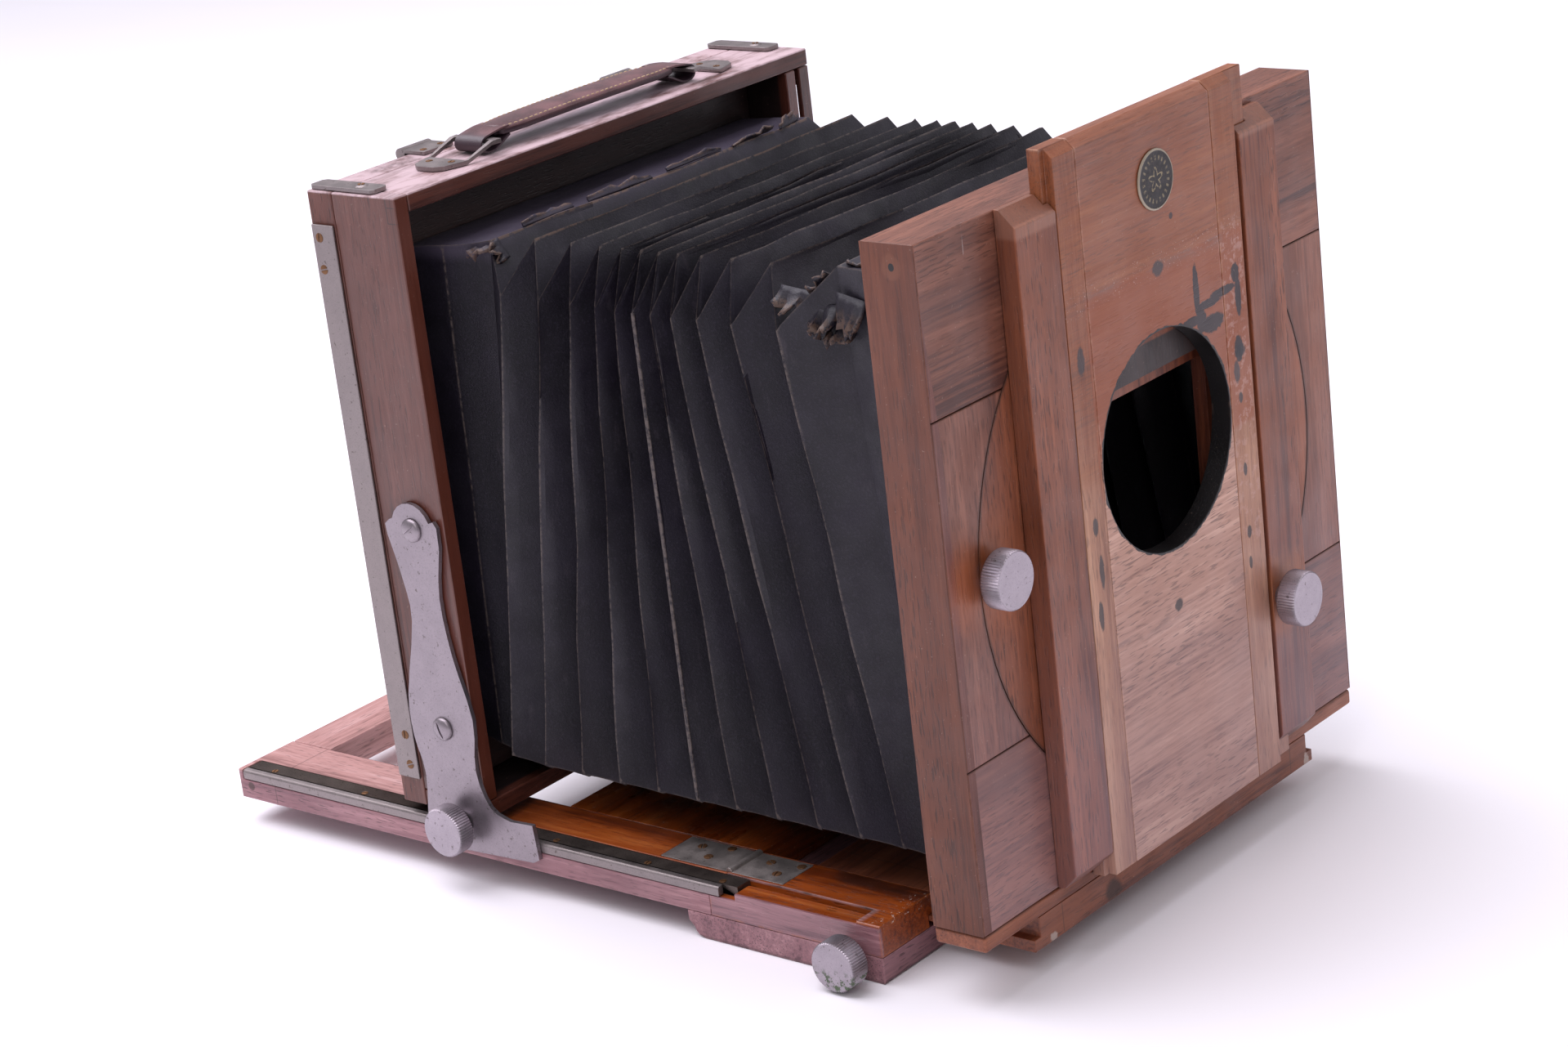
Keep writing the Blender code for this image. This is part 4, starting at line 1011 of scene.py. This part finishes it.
def leather_cloth():
    """Black grained cloth, grey along worn folds and torn to brown canvas at the rear."""
    g = Graph("bellows_cloth")
    wear = g.add("ShaderNodeAttribute", attribute_name="wear").outputs["Fac"]
    fray = g.add("ShaderNodeAttribute", attribute_name="fray").outputs["Fac"]
    cloud = g.noise(g.where, 28, 4, 0.6)
    g.color = g.mix(g.level(cloud, 0.35, 0.7), srgb(19, 15, 24), srgb(29, 24, 36))
    grain = g.noise(g.where, 1150, 2, 0.5)
    g.tint(g.level(grain, 0.5, 0.72), srgb(52, 46, 60), 0.35)
    scuff = g.level(g.noise(g.mapped((0, 0, 0), (1, 1, 0.3)), 150, 4, 0.7), 0.6, 0.72)
    g.tint(scuff, srgb(66, 58, 66), 0.3)
    lit = g.times(g.span("Y", 226, 270, 4), g.level(g.axes["Z"], 0.25, 0.256))
    g.tint(lit, srgb(74, 66, 82), 0.6)
    broken = g.level(g.noise(g.where, 420, 4, 0.7), 0.34, 0.6)
    line = g.times(g.level(wear, 0.55, 1.0), broken)
    g.tint(line, srgb(104, 92, 86), 0.7)
    torn = g.times(g.level(fray, 0.35, 0.8), g.level(g.noise(g.where, 330, 4, 0.7), 0.42, 0.54))
    g.tint(torn, srgb(98, 77, 66), 0.85)
    height = g.math("ADD", g.times(grain, 0.5), g.times(g.noise(g.where, 3200, 1), 0.4))
    return g.finish((0.42, 0.62, g.noise(g.where, 90, 3)), height, 0.00022, 0.8, Specular_IOR_Level=0.45)


def build_bellows():
    cloth = leather_cloth()
    stations = fold_stations()
    middle = 12
    for half, folds, flaps, start, end in (
        ("front", stations[: middle + 1], FRONT_FLAPS, 144.5, 30),
        ("rear", stations[middle:], REAR_FLAPS, 145.5, 266),
    ):
        name = "bellows_" + half
        bellows_piece(name + "_cloth", folds, flaps, name, cloth)


# Handle

HANDLE_X, HANDLE_Y, BOX_TOP, BAR_X = 0.5, 264.0, 282.5, 59.5
PLATE_TOP = 284.52
GRIP_END = 52.0


def grip_height(x):
    s = 1 - (x / BAR_X) ** 2
    return BOX_TOP + 9.0 + 0.8 * s, BOX_TOP + 4.8 + 0.4 * s


def grip_half_width(x):
    return 6.6 + 2.3 * math.sin(math.pi / 2 * min(1.0, (52.5 - abs(x)) / 16))


def build_handle():
    leather = Graph("handle_leather")
    cloud = leather.noise(leather.where, 70, 4, 0.6)
    leather.color = leather.mix(leather.level(cloud, 0.3, 0.7), srgb(74, 44, 48), srgb(112, 74, 76))
    grain = leather.noise(leather.where, 1500, 2)
    leather.tint(leather.level(grain, 0.55, 0.7), srgb(136, 102, 100), 0.3)
    # painted shade on the lower half of the grip
    painted_underside_shade = leather.level(leather.axes["Z"], 0.2893, 0.2908, 1.0, 0.0)
    leather.tint(painted_underside_shade, srgb(40, 33, 44), 0.8)
    coat = {"Coat_Weight": 0.15, "Coat_Roughness": 0.35}
    material = leather.finish((0.3, 0.5, cloud), grain, 0.0001, 0.7, **coat)

    bm = bmesh.new()
    rings = []
    columns = 40
    for i in range(columns + 1):
        x = -GRIP_END + 2 * GRIP_END * i / columns
        high, low = grip_height(x)
        wide = grip_half_width(x)
        section = [
            (-wide, low + 0.5),
            (-wide, high - 1.2),
            (-wide + 0.7, high - 0.7),
            (-wide + 2.3, high - 0.55),
            (-wide * 0.45, high - 0.1),
        ]
        right = [(-y, z) for y, z in reversed(section)]
        section += [(0, high), *right, (wide * 0.6, low), (0, low - 0.1), (-wide * 0.6, low)]
        rings.append([bm.verts.new(at(HANDLE_X + x, HANDLE_Y + y, z)) for y, z in section])
    for a, b in zip(rings, rings[1:]):
        for k in range(len(a)):
            m = (k + 1) % len(a)
            bm.faces.new((a[k], a[m], b[m], b[k]))
    bm.faces.new(rings[0])
    bm.faces.new(rings[-1])
    grip = add_mesh("handle_grip", bm, material, None, 50)
    smooth = grip.modifiers.new("smooth", "SUBSURF")
    smooth.levels = 1
    smooth.render_levels = 1
    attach(grip, "handle")
    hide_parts("handle")

    loops = bmesh.new()
    for sign in (-1, 1):
        strap_loop(loops, sign)
    ends = add_mesh("handle_loops", loops, material, "handle", 50)

    thread = Graph("thread")
    thread.color = thread.mix(thread.noise(thread.where, 900, 2), srgb(150, 118, 84), srgb(214, 190, 150))
    fuzz = thread.noise(thread.where, 300, 2)
    cream = thread.finish((0.6, 0.8, fuzz), thread.noise(thread.where, 3000, 1), 0.0001)
    bm = bmesh.new()
    rng = random.Random(4)
    for side in (-1, 1):
        for k in range(36):
            x = -49 + 98 * k / 35
            y = HANDLE_Y + side * (grip_half_width(x) - 1.5)
            spot = at(HANDLE_X + x, y, grip_height(x)[0] - 0.66)
            turn = Matrix.Rotation(rng.uniform(-0.12, 0.12), 4, "Z")
            matrix = Matrix.Translation(spot) @ turn @ Matrix.Diagonal((0.00105, 0.00032, 0.0003, 1))
            matrix = matrix @ Matrix.Rotation(math.pi / 2, 4, "Y")
            bmesh.ops.create_uvsphere(bm, u_segments=8, v_segments=5, radius=1.0, matrix=matrix)
    stitches = add_mesh("handle_stitching", bm, cream, "handle", 80)


def strap_loop(bm, sign):
    """The folded end of the strap, round the bar of its fork plate."""
    path = [(47.5, 8.5), (52.5, 8.4), (56.5, 7.9)]
    for k in range(9):
        a = math.radians(80 - 170 * k / 8)
        path.append((BAR_X + 0.3 + 4.3 * math.cos(a), 4.05 + 3.2 * math.sin(a)))
    path += [(56.6, 0.95), (53.5, 2.2), (50.0, 4.0), (47.5, 5.2)]
    half, thick = 7.2, 1.0
    section = [(y, -0.5) for y in (-half, -half + 0.5, half - 0.5, half)] + [(half, 0.5), (-half, 0.5)]
    rows = []
    for k, (x, z) in enumerate(path):
        before, after = path[max(k - 1, 0)], path[min(k + 1, len(path) - 1)]
        tangent = Vector((after[0] - before[0], after[1] - before[1])).normalized()
        normal = Vector((-tangent.y, tangent.x))
        ring = []
        for y, depth in section:
            r = thick * depth * (0.7 if abs(y) == half else 1.0)
            spot = (HANDLE_X + sign * (x + normal.x * r), HANDLE_Y + y, BOX_TOP + z + normal.y * r)
            ring.append(bm.verts.new(at(*spot)))
        rows.append(ring)
    for a, b in zip(rows, rows[1:]):
        for k in range(6):
            m = (k + 1) % 6
            bm.faces.new((a[k], a[m], b[m], b[k]))
    bm.faces.new(rows[0])
    bm.faces.new(rows[-1])


# Camera, lights, floor


CAMERA_ANGLES = (-48.57, 19.0, -6.85)  # azimuth, elevation and roll in degrees
CAMERA_PLACE = (-1027.09, -725.44, 591.19)


def build_stage():
    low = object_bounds()[0]
    bm = bmesh.new()
    bmesh.ops.create_grid(bm, x_segments=2, y_segments=2, size=6.0)
    g = Graph("studio_floor")
    g.color = g.mix(g.noise(g.where, 1.5, 2), srgb(250, 247, 253), srgb(253, 251, 254))
    floor = add_mesh("studio_floor", bm, g.finish((0.7, 0.8, g.noise(g.where, 4, 2))))
    floor.location.z = low.z - 0.0002

    world = bpy.data.worlds.new("studio")
    bpy.context.scene.world = world
    world.use_nodes = True
    sky = world.node_tree.nodes["Background"]
    sky.inputs["Color"].default_value = (0.95, 0.93, 1.0, 1)
    sky.inputs["Strength"].default_value = 0.44

    for name, place, size, power, color in (
        ("key", (-1.5, -1.1, 1.7), 1.1, 7, (1.0, 0.97, 0.97)),
        ("overhead", (-0.2, 0.7, 2.3), 2.6, 88, (0.95, 0.92, 1.0)),
        ("right", (1.5, -1.0, 0.9), 1.2, 4, (0.95, 0.93, 1.0)),
    ):
        light = bpy.data.lights.new(name, "AREA")
        light.size = size
        light.energy = power
        light.color = color
        obj = bpy.data.objects.new(name, light)
        bpy.context.scene.collection.objects.link(obj)
        obj.location = place
        obj.rotation_euler = (Vector((0, 0, 0.13)) - Vector(place)).to_track_quat("-Z", "Y").to_euler()

    azimuth, elevation, roll = (math.radians(v) for v in CAMERA_ANGLES)
    back = Vector(
        (
            math.sin(azimuth) * math.cos(elevation),
            -math.cos(azimuth) * math.cos(elevation),
            math.sin(elevation),
        )
    )
    right = Vector((0, 0, 1)).cross(back).normalized()
    up = back.cross(right)
    tilted = math.cos(roll) * right + math.sin(roll) * up
    upward = math.cos(roll) * up - math.sin(roll) * right
    matrix = Matrix((tilted, upward, back)).transposed().to_4x4()
    matrix.translation = at(*CAMERA_PLACE)
    lens = bpy.data.cameras.new("camera")
    lens.sensor_width = 36
    lens.lens = 82.82
    camera = bpy.data.objects.new("camera", lens)
    bpy.context.scene.collection.objects.link(camera)
    camera.matrix_world = matrix
    bpy.context.scene.camera = camera
    bpy.context.scene.view_settings.view_transform = "Standard"


build_front()
build_base()
build_rear()
steel = build_metal()
build_glass()
dress("badge", badge_material(), 0.2)
build_knobs()
build_screws()
for side, _ in SIDES:
    fine_rack(side, steel)
build_bellows()
build_handle()
build_stage()
